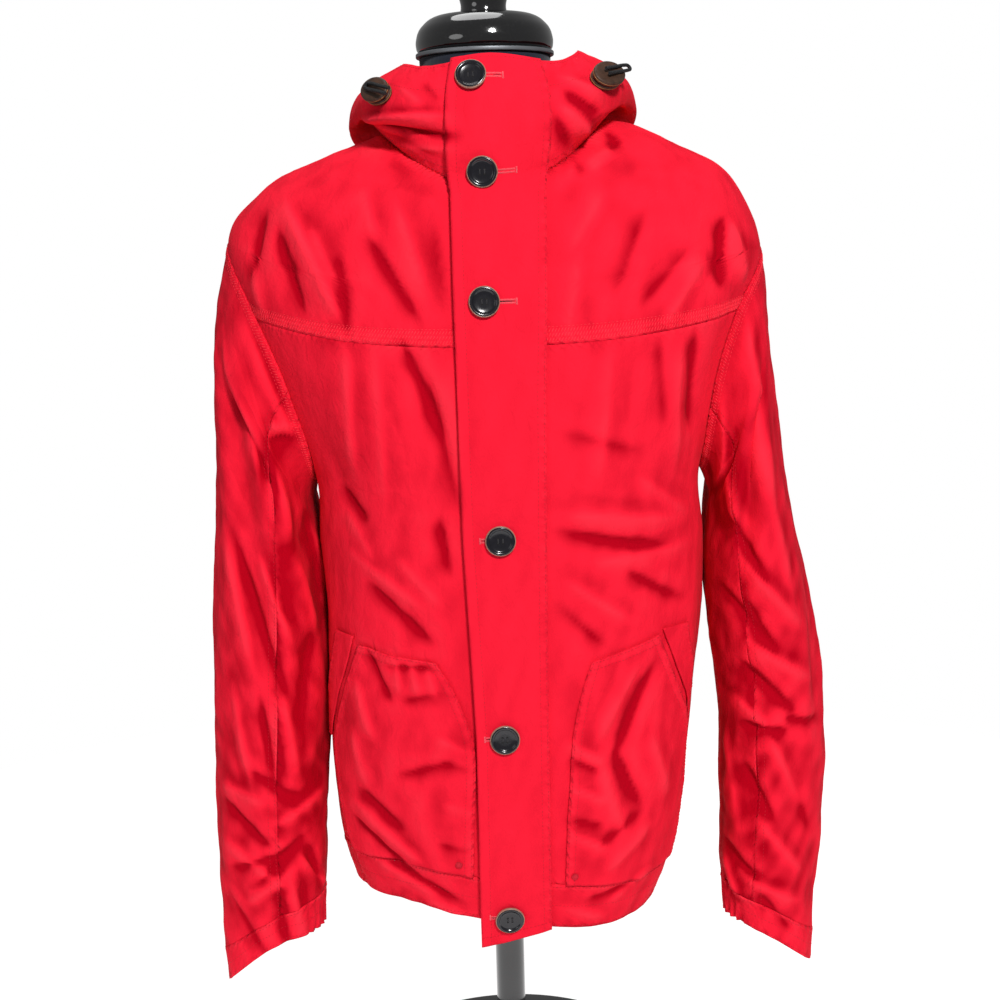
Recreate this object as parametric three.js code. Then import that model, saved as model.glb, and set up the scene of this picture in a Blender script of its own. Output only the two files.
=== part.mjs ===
// A hooded raincoat with a buttoned storm flap, hanging on a limbless dress form on a short stand.
// Millimetres, +Z up, front facing -Y. Right and left are the wearer's: the right side has negative x.
import * as THREE from 'three';
import { mergeVertices } from 'three/addons/utils/BufferGeometryUtils.js';

// Driving dimensions
const CLOTH = 1.4;            // wall of one sewn layer
const FLAP_CLOTH = 2.2;       // storm flap, two layers
const SEAM_GAP = 0.7;         // between the edges of neighbouring pieces
const SEAT = 0.45;            // between a piece and what it lies on
const LAID_ON = 1.1;          // between a panel and a patch that bridges its facets
const BUTTON_DIAMETER = 25.4;
const BUTTON_THICK = 4.6;
const BASE_RADIUS = 165;
const BASE_THICK = 12;
const POLE_RADIUS = 14;
const FLANGE_RADIUS = 34;
const FLANGE_THICK = 10;
const NECK_RADIUS = 58;       // of the form's neck
const NECK_TOP = 990;         // height of the form's cloth neck
const CORD_RADIUS = 1.5;

// Coat sections from hem to neck seam: heights at front, side and back, how much higher the left side is,
// how much the front's right corner is drawn up and its left corner let down, half width and depths
const BODY_RINGS = [
  { at: 'hem edge', front_z: 231, side_z: 230, back_z: 234, lean: 0, slant: 14, half: 145, centre: 0, front: 122, back: 114, square: 2.2 },
  { at: 'hem band top', front_z: 274, side_z: 273, back_z: 276, lean: 0, slant: 13, half: 158, centre: 2, front: 129, back: 121, square: 2.3 },
  { at: 'pocket foot', front_z: 337, side_z: 336, back_z: 339, lean: 0, slant: 7, half: 167, centre: 5, front: 134, back: 126, square: 2.45 },
  { at: 'pocket middle', front_z: 410, side_z: 410, back_z: 412, lean: 0, slant: 3, half: 171, centre: 9, front: 135, back: 129, square: 2.5 },
  { at: 'waist', front_z: 490, side_z: 490, back_z: 492, lean: 0, slant: 0, half: 174, centre: 14, front: 134, back: 130, square: 2.5 },
  { at: 'ribs', front_z: 560, side_z: 560, back_z: 562, lean: 0, slant: 0, half: 173, centre: 15, front: 135, back: 130, square: 2.5 },
  { at: 'armpit', front_z: 628, side_z: 626, back_z: 630, lean: 0, slant: 0, half: 171, centre: 15, front: 135, back: 129, square: 2.45 },
  { at: 'armhole low', front_z: 692, side_z: 698, back_z: 702, lean: -1, slant: 0, half: 201, centre: 9, front: 134, back: 128, square: 2.45 },
  { at: 'yoke seam', front_z: 746, side_z: 773, back_z: 770, lean: -3, slant: 0, half: 227, centre: 5, front: 131, back: 126, square: 2.45 },
  { at: 'shoulder tip', front_z: 796, side_z: 829, back_z: 831, lean: -8, slant: 0, half: 238, centre: 4, front: 127, back: 122, square: 2.35 },
  { at: 'shoulder outer', front_z: 833, side_z: 881, back_z: 876, lean: 2, slant: 0, half: 208, centre: 5, front: 122, back: 117, square: 2.3 },
  { at: 'shoulder middle', front_z: 854, side_z: 908, back_z: 904, lean: 4, slant: 0, half: 162, centre: 5, front: 117, back: 109, square: 2.2 },
  { at: 'shoulder inner', front_z: 867, side_z: 923, back_z: 922, lean: 5, slant: 0, half: 126, centre: 5, front: 112, back: 98, square: 2.1 },
  { at: 'neck seam', front_z: 877, side_z: 931, back_z: 934, lean: 4, slant: 0, half: 98, centre: 5, front: 107, back: 85, square: 2.0 },
];
const BAND_ROW = 1;
const ARMPIT_ROW = 6;
const YOKE_ROW = 8;
const TIP_ROW = 9;
const NECK_ROW = 13;
const ARMHOLE_FRONT = 26;     // degrees that the armhole reaches forward of the side
const ARMHOLE_BACK = 24;

// The largest folds of the body: degrees round from the front, rows from and to, width, and outward depth
const BODY_FOLDS = [
  { angle: -58, from: 4.6, to: 9.4, width: 17, depth: -9 },
  { angle: -74, from: 1.2, to: 5.4, width: 16, depth: -6 },
  { angle: 60, from: 5.2, to: 9.2, width: 15, depth: -7 },
  { angle: 76, from: 1.2, to: 5.2, width: 15, depth: -7 },
  { angle: 122, from: 0.4, to: 7.6, width: 18, depth: -10 },
  { angle: 150, from: 0.2, to: 6.8, width: 17, depth: 8 },
  { angle: 178, from: 0.2, to: 6.4, width: 18, depth: -8 },
  { angle: 207, from: 0.2, to: 7.0, width: 17, depth: 8 },
  { angle: 236, from: 0.4, to: 7.6, width: 18, depth: -10 },
];

// Sleeve sections below the armhole: outer and inner edge seen from the front, depth, centre in y,
// and how much the middle of the front is drawn up
const RIGHT_SLEEVE = [
  { outer_x: -243, outer_z: 804, inner_x: -170, inner_z: 600, depth: 72, centre_y: 2, rise: 0 },
  { outer_x: -250, outer_z: 766, inner_x: -167, inner_z: 582, depth: 74, centre_y: 1, rise: 0 },
  { outer_x: -254, outer_z: 716, inner_x: -163, inner_z: 562, depth: 75, centre_y: 0, rise: 0 },
  { outer_x: -257, outer_z: 660, inner_x: -161, inner_z: 540, depth: 74, centre_y: -2, rise: 0 },
  { outer_x: -260, outer_z: 600, inner_x: -160.5, inner_z: 512, depth: 72, centre_y: -5, rise: 0 },
  { outer_x: -265, outer_z: 532, inner_x: -160.5, inner_z: 472, depth: 69, centre_y: -9, rise: 0 },
  { outer_x: -269, outer_z: 460, inner_x: -162.5, inner_z: 424, depth: 65, centre_y: -13, rise: 0 },
  { outer_x: -272, outer_z: 390, inner_x: -166, inner_z: 370, depth: 61, centre_y: -17, rise: 0 },
  { outer_x: -274, outer_z: 322, inner_x: -170, inner_z: 314, depth: 57, centre_y: -20, rise: 0 },
  { outer_x: -275, outer_z: 250, inner_x: -172, inner_z: 262, depth: 52, centre_y: -22, rise: 2 },
  { outer_x: -275, outer_z: 172, inner_x: -174, inner_z: 228, depth: 47, centre_y: -24, rise: 12 },
  { outer_x: -272, outer_z: 138, inner_x: -177, inner_z: 194, depth: 44, centre_y: -25, rise: 18 },
];
const LEFT_SLEEVE = [
  { outer_x: 247, outer_z: 792, inner_x: 197, inner_z: 600, depth: 72, centre_y: 2, rise: 0 },
  { outer_x: 250, outer_z: 756, inner_x: 196, inner_z: 582, depth: 75, centre_y: 1, rise: 0 },
  { outer_x: 254, outer_z: 708, inner_x: 194, inner_z: 562, depth: 77, centre_y: 0, rise: 0 },
  { outer_x: 261, outer_z: 655, inner_x: 192, inner_z: 540, depth: 77, centre_y: -2, rise: 0 },
  { outer_x: 270, outer_z: 598, inner_x: 192, inner_z: 512, depth: 75, centre_y: -5, rise: 0 },
  { outer_x: 284, outer_z: 528, inner_x: 194, inner_z: 472, depth: 71, centre_y: -9, rise: 0 },
  { outer_x: 296, outer_z: 456, inner_x: 200, inner_z: 424, depth: 67, centre_y: -13, rise: 0 },
  { outer_x: 301, outer_z: 386, inner_x: 203, inner_z: 370, depth: 63, centre_y: -17, rise: 0 },
  { outer_x: 301, outer_z: 318, inner_x: 204, inner_z: 314, depth: 58, centre_y: -20, rise: 0 },
  { outer_x: 298, outer_z: 250, inner_x: 204, inner_z: 260, depth: 53, centre_y: -22, rise: 2 },
  { outer_x: 294, outer_z: 176, inner_x: 204, inner_z: 226, depth: 47, centre_y: -24, rise: 8 },
  { outer_x: 290, outer_z: 143, inner_x: 206, inner_z: 194, depth: 44, centre_y: -25, rise: 12 },
];
const CUFF_ROW = 11;
const SLEEVE_SEAM = { right: 104, left: 118 };   // degrees of the front seam, forward of the outer edge
// Largest sleeve folds: degrees at the top and bottom end, rows from and to, width, outward depth
const SLEEVE_FOLDS = {
  right: [
    { top: 42, bottom: 92, from: 0.4, to: 6.8, width: 26, depth: -10 },
    { top: 128, bottom: 150, from: 1.0, to: 6.0, width: 24, depth: -6 },
    { top: -60, bottom: -85, from: 1.0, to: 8.0, width: 30, depth: -8 },
    { top: 60, bottom: 70, from: 6.6, to: 10.4, width: 26, depth: -4 },
  ],
  left: [
    { top: 60, bottom: 118, from: 0.5, to: 6.0, width: 26, depth: -10 },
    { top: 20, bottom: 48, from: 5.2, to: 9.0, width: 24, depth: -5 },
    { top: -55, bottom: -90, from: 1.0, to: 8.0, width: 30, depth: -8 },
    { top: 84, bottom: 70, from: 7.0, to: 10.6, width: 24, depth: -4 },
  ],
};
const CUFF_GATHERS = 9;          // elastic waves on the inner part of each cuff
const GATHER_FROM = 128;         // degrees round the cuff
const GATHER_TO = 232;
const GATHER_DEPTH = 2.2;

// Hood lying down: steps out from and up above the neck seam, by angle round from the front
const HOOD_STATIONS = [
  { angle: 0, roll_out: 1.5, roll_up: 24, under_out: 2, under_up: 46, belly_out: 0, belly_up: 68, swell_out: -6, swell_up: 89, rim_out: -15, rim_up: 107 },
  { angle: 45, roll_out: 9, roll_up: 12, under_out: 18, under_up: 24, belly_out: 18, belly_up: 44, swell_out: 6, swell_up: 61, rim_out: -11, rim_up: 76 },
  { angle: 90, roll_out: 12, roll_up: 11, under_out: 22, under_up: 10, belly_out: 25, belly_up: 22, swell_out: 11, swell_up: 42, rim_out: -20, rim_up: 56 },
  { angle: 135, roll_out: 13, roll_up: 12, under_out: 46, under_up: -6, belly_out: 66, belly_up: -22, swell_out: 62, swell_up: 22, rim_out: 10, rim_up: 50 },
  { angle: 180, roll_out: 14, roll_up: 12, under_out: 50, under_up: -62, belly_out: 80, belly_up: -158, swell_out: 118, swell_up: -96, rim_out: 98, rim_up: -2 },
];
const HOOD_STEPS = ['roll', 'under', 'belly', 'swell', 'rim'];
const HOOD_SIDE_SEAM_COLUMN = 7;   // back columns from the side to the hood's centre panel

// Storm flap: where its free edge and its seam lie, and how far the free edge stands off
const FLAP_EDGES = [
  { z: 205, free_x: -24, seam_x: 38, lift: 2.5 },
  { z: 237, free_x: -24, seam_x: 38, lift: 2.5 },
  { z: 410, free_x: -23, seam_x: 39, lift: 3 },
  { z: 585, free_x: -29, seam_x: 41, lift: 2.5 },
  { z: 703, free_x: -30, seam_x: 43, lift: 3 },
  { z: 783, free_x: -31, seam_x: 46, lift: 3 },
  { z: 877, free_x: -31, seam_x: 48, lift: 3 },
  { z: 984, free_x: -30, seam_x: 50, lift: 1.5 },
];
const BUTTONS = [
  { x: -12, z: 965 }, { x: -4, z: 889 }, { x: -6, z: 783 },
  { x: 2, z: 584 }, { x: 1, z: 409 }, { x: 1, z: 238 },
];

// Patch pockets: front edge and slanted mouth edge as seen from the front
const POCKETS = {
  right: [
    { front_x: -30, front_z: 274, mouth_x: -139, mouth_z: 274 },
    { front_x: -29, front_z: 300, mouth_x: -146, mouth_z: 302 },
    { front_x: -27, front_z: 338, mouth_x: -151, mouth_z: 342 },
    { front_x: -25, front_z: 376, mouth_x: -152, mouth_z: 384 },
    { front_x: -26, front_z: 404, mouth_x: -147, mouth_z: 412 },
    { front_x: -34, front_z: 432, mouth_x: -139, mouth_z: 440 },
    { front_x: -45, front_z: 458, mouth_x: -131, mouth_z: 466 },
    { front_x: -56, front_z: 476, mouth_x: -123, mouth_z: 486 },
  ],
  left: [
    { front_x: 51, front_z: 274, mouth_x: 151, mouth_z: 274 },
    { front_x: 52, front_z: 300, mouth_x: 158, mouth_z: 302 },
    { front_x: 54, front_z: 338, mouth_x: 164, mouth_z: 338 },
    { front_x: 57, front_z: 376, mouth_x: 166, mouth_z: 376 },
    { front_x: 59, front_z: 404, mouth_x: 164, mouth_z: 411 },
    { front_x: 64, front_z: 432, mouth_x: 156, mouth_z: 438 },
    { front_x: 71, front_z: 458, mouth_x: 147, mouth_z: 465 },
    { front_x: 77, front_z: 474, mouth_x: 137, mouth_z: 490 },
  ],
};
const POCKET_COLUMNS = 10;
// Stitched strip behind the mouth of each pocket
const WELTS = {
  right: [{ z: 384, from: -157, width: 4 }, { z: 430, from: -147, width: 12 }, { z: 492, from: -128, width: 14 }],
  left: [{ z: 384, from: 170, width: 4 }, { z: 430, from: 164, width: 10 }, { z: 494, from: 142, width: 14 }],
};

const red = new THREE.MeshStandardMaterial({ color: 0xd81528, roughness: 0.72, metalness: 0 });
const buttonBlack = new THREE.MeshStandardMaterial({ color: 0x17151a, roughness: 0.25, metalness: 0 });
const leatherBrown = new THREE.MeshStandardMaterial({ color: 0x3a1d12, roughness: 0.55, metalness: 0 });
const cordBlack = new THREE.MeshStandardMaterial({ color: 0x141316, roughness: 0.8, metalness: 0 });
const formNavy = new THREE.MeshStandardMaterial({ color: 0x141824, roughness: 0.9, metalness: 0 });
const blackLacquer = new THREE.MeshStandardMaterial({ color: 0x0b0a0a, roughness: 0.15, metalness: 0 });
const greyTrim = new THREE.MeshStandardMaterial({ color: 0x5c6064, roughness: 0.5, metalness: 0.2 });

const UP = new THREE.Vector3(0, 0, 1);
const radians = THREE.MathUtils.degToRad;
const degrees = THREE.MathUtils.radToDeg;
const mix = THREE.MathUtils.lerp;

// Catmull-Rom through a list of numbers, straight on past the ends
function through(values, t) {
  const last = values.length - 1;
  const i = Math.min(Math.max(Math.floor(t), 0), last - 1);
  const f = t - i;
  const b = values[i];
  const c = values[i + 1];
  const a = i > 0 ? values[i - 1] : 2 * b - c;
  const d = i + 2 <= last ? values[i + 2] : 2 * c - b;
  return 0.5 * (2 * b + (c - a) * f + (2 * a - 5 * b + 4 * c - d) * f ** 2 + (3 * b - a - 3 * c + d) * f ** 3);
}

// Value of a named column of a table whose rows are sorted by another column
function lookUp(table, by, column, value) {
  let i = 0;
  while (i < table.length - 2 && table[i + 1][by] < value) i += 1;
  const f = (value - table[i][by]) / (table[i + 1][by] - table[i][by]);
  return mix(table[i][column], table[i + 1][column], THREE.MathUtils.clamp(f, -1, 1.5));
}

const signedPower = (value, power) => Math.sign(value) * Math.abs(value) ** power;
const bell = (x) => (Math.abs(x) < 1 ? (1 - x * x) ** 2 : 0);
const ring = (column, row) => through(BODY_RINGS.map((r) => r[column]), row);

// Soft push of the largest folds at an angle and row
function bodyFold(angle, row) {
  let push = 0;
  for (const fold of BODY_FOLDS) {
    const turn = ((angle - fold.angle + 540) % 360) - 180;
    const along = (row - (fold.from + fold.to) / 2) / ((fold.to - fold.from) / 2);
    push += fold.depth * bell(turn / fold.width) * bell(along);
  }
  return push;
}

// Point of the coat's body: angle in degrees round from the front, row up from the hem
const bodyPoint = (angle, row) => bodyShape(angle, row, bodyFold(angle, row));
function bodyShape(angle, row, push = 0) {
  const s = Math.sin(radians(angle));
  const c = Math.cos(radians(angle));
  const power = 2 / ring('square', row);
  const faced = c > 0 ? 'front' : 'back';
  const x = ring('centre', row) + ring('half', row) * signedPower(s, power) + push * s;
  const y = -ring(faced, row) * signedPower(c, power) - push * c;
  const level = ring('side_z', row) + (ring(`${faced}_z`, row) - ring('side_z', row)) * c * c;
  const drawn = c > 0 ? ring('slant', row) * -2 * s * c : 0;
  return new THREE.Vector3(x, y, level + ring('lean', row) * s * s * s + drawn);
}

// Unit normal of a surface given as a function of two values
function normalOf(surface, u, v, du = 0.5, dv = 0.02) {
  const along = surface(u + du, v).sub(surface(u - du, v));
  const up = surface(u, v + dv).sub(surface(u, v - dv));
  return along.cross(up).normalize();
}

// The armhole is an oval on the body round each side: turn is 0 at the shoulder tip, 180 at the armpit
const armholeRow = (turn) => (ARMPIT_ROW + TIP_ROW) / 2 + ((TIP_ROW - ARMPIT_ROW) / 2) * Math.cos(radians(turn));
function armholeAngle(side, turn) {
  const s = Math.sin(radians(turn));
  const reach = s > 0 ? ARMHOLE_FRONT : ARMHOLE_BACK;
  return side * (90 - reach * s);
}
const armholePoint = (side, turn) => bodyPoint(armholeAngle(side, turn), armholeRow(turn));

// Point of a sleeve: turn in degrees round from the outer edge towards the front, row down from the armhole
function sleevePoint(side, turn, row) {
  const table = side < 0 ? RIGHT_SLEEVE : LEFT_SLEEVE;
  const c = Math.cos(radians(turn));
  const s = Math.sin(radians(turn));
  const start = armholePoint(side, turn);
  const xs = [start.x];
  const ys = [start.y];
  const zs = [start.z];
  for (const r of table) {
    xs.push((r.outer_x + r.inner_x) / 2 + ((r.outer_x - r.inner_x) / 2) * c);
    ys.push(r.centre_y - r.depth * s);
    zs.push((r.outer_z + r.inner_z) / 2 + ((r.outer_z - r.inner_z) / 2) * c + (s > 0 ? r.rise * s * s : 0));
  }
  const point = new THREE.Vector3(through(xs, row), through(ys, row), through(zs, row));
  let push = 0;
  for (const fold of SLEEVE_FOLDS[side < 0 ? 'right' : 'left']) {
    const share = (row - fold.from) / (fold.to - fold.from);
    const centre = mix(fold.top, fold.bottom, share);
    const away = ((turn - centre + 540) % 360) - 180;
    push += fold.depth * bell(away / fold.width) * bell(share * 2 - 1);
  }
  return point.add(new THREE.Vector3(side * c, -s, 0).multiplyScalar(push));
}
function sleeveNormal(side, turn, row) {
  const surface = (u, v) => sleevePoint(side, u, Math.max(v, 0));
  const n = normalOf(surface, turn, row, 0.5, 0.03).multiplyScalar(side);
  if (row > 0) return n;
  return n.add(normalOf(bodyPoint, armholeAngle(side, turn), armholeRow(turn))).normalize();
}

// Point of the hood: angle round from the front, step 0 at the neck seam to 5 at the rim
function hoodPoint(angle, step) {
  const seam = bodyPoint(angle, NECK_ROW);
  const station = (((Math.abs(angle) + 180) % 360) - 180);
  const place = Math.abs(station) / 45;
  const outs = [0];
  const ups = [0];
  for (const name of HOOD_STEPS) {
    outs.push(stationValue(`${name}_out`, place));
    ups.push(stationValue(`${name}_up`, place));
  }
  const outward = new THREE.Vector3(seam.x - ring('centre', NECK_ROW), seam.y, 0).normalize();
  return seam.addScaledVector(outward, through(outs, step)).addScaledVector(UP, through(ups, step));
}
// Stations mirror at the front and the back, so that the hood is smooth across both
function stationValue(column, place) {
  const v = HOOD_STATIONS.map((r) => r[column]);
  return through([v[1], ...v, v[3]], place + 1);
}

// Closed wall from rows of points on its outer face, each with a normal and a thickness
function wall(rows, wrap = false) {
  const across = rows[0].length;
  const vertices = [];
  for (const inner of [0, 1]) {
    for (const row of rows) {
      for (const { p, n, t } of row) vertices.push(...p.clone().addScaledVector(n, -inner * t).toArray());
    }
  }
  const at = (inner, j, i) => (inner * rows.length + j) * across + (i % across);
  const faces = [];
  const quad = (a, b, c, d) => faces.push(a, b, c, a, c, d);
  const spans = wrap ? across : across - 1;
  for (let j = 0; j < rows.length - 1; j += 1) {
    for (let i = 0; i < spans; i += 1) {
      quad(at(0, j, i), at(0, j, i + 1), at(0, j + 1, i + 1), at(0, j + 1, i));
      quad(at(1, j, i), at(1, j + 1, i), at(1, j + 1, i + 1), at(1, j, i + 1));
    }
  }
  const top = rows.length - 1;
  for (let i = 0; i < spans; i += 1) {
    quad(at(0, 0, i), at(1, 0, i), at(1, 0, i + 1), at(0, 0, i + 1));
    quad(at(0, top, i), at(0, top, i + 1), at(1, top, i + 1), at(1, top, i));
  }
  if (!wrap) {
    for (let j = 0; j < top; j += 1) {
      quad(at(0, j, 0), at(0, j + 1, 0), at(1, j + 1, 0), at(1, j, 0));
      quad(at(0, j, across - 1), at(1, j, across - 1), at(1, j + 1, across - 1), at(0, j + 1, across - 1));
    }
  }
  return facingOut(vertices, faces);
}

// Geometry from vertices and faces, turned so that its faces point out
function facingOut(vertices, faces) {
  const geometry = new THREE.BufferGeometry();
  geometry.setAttribute('position', new THREE.Float32BufferAttribute(vertices, 3));
  const point = (k) => new THREE.Vector3().fromArray(vertices, 3 * k);
  let volume = 0;
  for (let f = 0; f < faces.length; f += 3) {
    volume += point(faces[f]).dot(point(faces[f + 1]).cross(point(faces[f + 2])));
  }
  geometry.setIndex(volume < 0 ? faces.reverse() : faces);
  geometry.computeVertexNormals();
  return geometry;
}

// Moves the outer rows and columns of a panel in from the seam, half a gap each, and more where asked
function trimmed(rows, sides) {
  const pull = (from, to) => {
    from.p.addScaledVector(to.p.clone().sub(from.p).normalize(), from.back ?? SEAM_GAP / 2);
  };
  const last = rows.length - 1;
  if (sides.includes('bottom')) rows[0].forEach((q, i) => pull(q, rows[1][i]));
  if (sides.includes('top')) rows[last].forEach((q, i) => pull(q, rows[last - 1][i]));
  for (const row of rows) {
    if (sides.includes('first')) pull(row[0], row[1]);
    if (sides.includes('last')) pull(row[row.length - 1], row[row.length - 2]);
  }
  return rows;
}

const ARMHOLE_TURNS = [0, 14, 28, 42, 56, degrees(Math.acos(1 / 3)), 88, 104, 118, 134, 150, 166, 180];
const spread = (from, to, count) => Array.from({ length: count + 1 }, (_, i) => mix(from, to, i / count));
const armholeRows = (from, to) => ARMHOLE_TURNS.map(armholeRow).reverse().filter((r) => r > from - 1e-6 && r < to + 1e-6);
const FRONT_COLUMNS = 12;
const BACK_COLUMNS = 10;
const BAND_ROWS = spread(0, BAND_ROW, 1);
const LOWER_ROWS = [...spread(BAND_ROW, ARMPIT_ROW, 8).slice(0, -1), ...armholeRows(ARMPIT_ROW, YOKE_ROW)];
const YOKE_ROWS = [...armholeRows(YOKE_ROW, TIP_ROW), ...spread(TIP_ROW, NECK_ROW, 7).slice(1)];

// Angle of the armhole's or side's edge at a row, and the turn round the armhole there
function sideEdge(row, towards) {
  if (row < ARMPIT_ROW - 1e-6 || row > TIP_ROW + 1e-6) return { angle: 90, turn: null };
  const middle = (ARMPIT_ROW + TIP_ROW) / 2;
  const c = THREE.MathUtils.clamp((row - middle) / (TIP_ROW - middle), -1, 1);
  const turn = degrees(Math.acos(c));
  const reach = towards === 'front' ? ARMHOLE_FRONT : -ARMHOLE_BACK;
  return { angle: 90 - reach * Math.sin(radians(turn)), turn: towards === 'front' ? turn : -turn };
}

function bodyVertex(angle, row, thick) {
  return { p: bodyPoint(angle, row), n: normalOf(bodyPoint, angle, row), t: thick };
}
// Normal that the body's edge shares with the sleeve round an armhole
function sharedNormal(vertex, side, turn) {
  if (turn !== null) vertex.n = sleeveNormal(side, turn, 0);
  return vertex;
}

// Front piece of one side between two rows, from the centre front to the side seam or armhole
function frontPiece(side, rowList, trims, thick = CLOTH) {
  const rows = rowList.map((row) => {
    const edge = sideEdge(row, 'front');
    const line = spread(0, edge.angle, FRONT_COLUMNS).map((angle) => bodyVertex(side * angle, row, thick));
    sharedNormal(line[FRONT_COLUMNS], side, edge.turn);
    return line;
  });
  return wall(trimmed(rows, trims));
}

// Back piece between two rows, from the left side round to the right side
function backPiece(rowList, trims, thick = CLOTH) {
  const rows = rowList.map((row) => {
    const edge = sideEdge(row, 'back');
    const half = spread(edge.angle, 180, BACK_COLUMNS);
    const angles = [...half, ...half.slice(0, -1).reverse().map((a) => 360 - a)];
    const line = angles.map((angle) => bodyVertex(angle, row, thick));
    sharedNormal(line[0], 1, edge.turn);
    sharedNormal(line[line.length - 1], -1, edge.turn);
    return line;
  });
  return wall(trimmed(rows, trims));
}

// Lengthwise piece of a sleeve between two turns
function sleevePiece(side, from, to, rowList, trims) {
  const turns = sleeveTurns().filter((t) => t > from - 1e-6 && t < to + 1e-6);
  const rows = rowList.map((row) => turns.map((turn) => {
    const back = row > 0 ? SEAM_GAP / 2 : SEAM_GAP / 2 + 0.7 * ((1 - Math.cos(radians(turn))) / 2) ** 2;
    return { p: sleevePoint(side, turn, row), n: sleeveNormal(side, turn, row), t: CLOTH, back };
  }));
  return wall(trimmed(rows, trims));
}
// Turns from the inner edge at -180, past the outer edge at 0, to the inner edge, and on round to 360
function sleeveTurns() {
  const half = ARMHOLE_TURNS.slice(1);
  const round = [...half.slice().reverse().map((t) => -t), 0, ...half];
  return [...round, ...half.slice(0, -1).reverse().map((t) => 360 - t), 360];
}

// Cuff: a band all round, with elastic gathers on its inner part
function cuffPiece(side) {
  const turns = [];
  for (let t = 0; t < 360;) {
    turns.push(t);
    const gathered = t >= GATHER_FROM && t < GATHER_TO;
    t += gathered ? (GATHER_TO - GATHER_FROM) / (CUFF_GATHERS * 2) : GATHER_FROM / 8;
  }
  const rows = spread(CUFF_ROW, RIGHT_SLEEVE.length, 1).map((row) => turns.map((turn, i) => {
    const p = sleevePoint(side, turn, row);
    const n = sleeveNormal(side, turn, row);
    const inside = (turn - GATHER_FROM) / (GATHER_TO - GATHER_FROM);
    const wave = inside > 0 && inside < 1 && row > CUFF_ROW ? GATHER_DEPTH * (i % 2 ? 1 : -1) : 0;
    return { p: p.addScaledVector(n, wave), n, t: CLOTH };
  }));
  const gap = rows[1].map((q, i) => q.p.clone().sub(rows[0][i].p).normalize());
  rows[0].forEach((q, i) => q.p.addScaledVector(gap[i], CUFF_SET_BACK));
  return wall(rows, true);
}
const CUFF_SET_BACK = 0.8;

// Hood piece between two angles of the front and back columns
function hoodPiece(angles, trims) {
  const steps = [...spread(0, 1, 2), ...spread(1, 5, 8).slice(1)];
  const rows = steps.map((step) => angles.map((angle) => {
    const n = normalOf(hoodPoint, angle, step, 0.5, 0.02);
    if (step === 0) n.add(normalOf(bodyPoint, angle, NECK_ROW)).normalize();
    return { p: hoodPoint(angle, step), n, t: CLOTH };
  }));
  return wall(trimmed(rows, trims));
}
function hoodAngles() {
  const front = spread(0, 90, FRONT_COLUMNS);
  const back = spread(90, 180, BACK_COLUMNS).slice(1);
  return [...front, ...back];
}

// Angle on the body or the hood at which a point has a given x
function angleAt(x, row) {
  const share = (x - ring('centre', row)) / ring('half', row);
  return degrees(Math.asin(signedPower(THREE.MathUtils.clamp(share, -1, 1), ring('square', row) / 2)));
}
// Row of the body whose front is at a height
function rowAt(z) {
  let low = -1;
  let high = NECK_ROW;
  for (let k = 0; k < 40; k += 1) {
    const middle = (low + high) / 2;
    if (ring('front_z', middle) < z) low = middle;
    else high = middle;
  }
  return (low + high) / 2;
}
// Step of the hood's front whose height is z
function hoodStepAt(z) {
  let low = 0;
  let high = 5.2;
  for (let k = 0; k < 40; k += 1) {
    const middle = (low + high) / 2;
    if (hoodPoint(0, middle).z < z) low = middle;
    else high = middle;
  }
  return (low + high) / 2;
}
// Point and normal of the coat's front at an x and a height, body below the neck seam and hood above
function frontAt(x, z) {
  if (z <= BODY_RINGS[NECK_ROW].front_z) {
    const row = rowAt(z);
    const angle = angleAt(x, row);
    return { p: bodyPoint(angle, row), n: normalOf(bodyPoint, angle, row) };
  }
  const step = hoodStepAt(z);
  const angle = angleAt(x, NECK_ROW);
  return { p: hoodPoint(angle, step), n: normalOf(hoodPoint, angle, step) };
}
// Point of the front, moved out by a distance
function offFront(x, z, out) {
  const { p, n } = frontAt(x, z);
  return { p: p.addScaledVector(n, out), n };
}

const FLAP_COLUMNS = 5;
const FLAP_FOOT_RISE = 25;    // the flap's foot rises from its free corner to its seam
function flapOut(x, z) {
  const free = lookUp(FLAP_EDGES, 'z', 'free_x', z);
  const seam = lookUp(FLAP_EDGES, 'z', 'seam_x', z);
  const share = THREE.MathUtils.clamp((seam - x) / (seam - free), 0, 1);
  return SEAT + LAID_ON + FLAP_CLOTH + lookUp(FLAP_EDGES, 'z', 'lift', z) * share ** 3;
}
const FLAP_HEIGHTS = [...spread(FLAP_EDGES[0].z, 850, 18).slice(0, -1), ...spread(850, 984, 11)];
const flapRows = FLAP_HEIGHTS.map((z, j) => {
  const free = lookUp(FLAP_EDGES, 'z', 'free_x', z);
  const seam = lookUp(FLAP_EDGES, 'z', 'seam_x', z);
  return spread(free, seam, FLAP_COLUMNS).map((x, i) => {
    const slant = j === 0 ? FLAP_FOOT_RISE * (i / FLAP_COLUMNS) : 0;
    return { ...offFront(x, z + slant, flapOut(x, z)), t: FLAP_CLOTH };
  });
});

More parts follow.
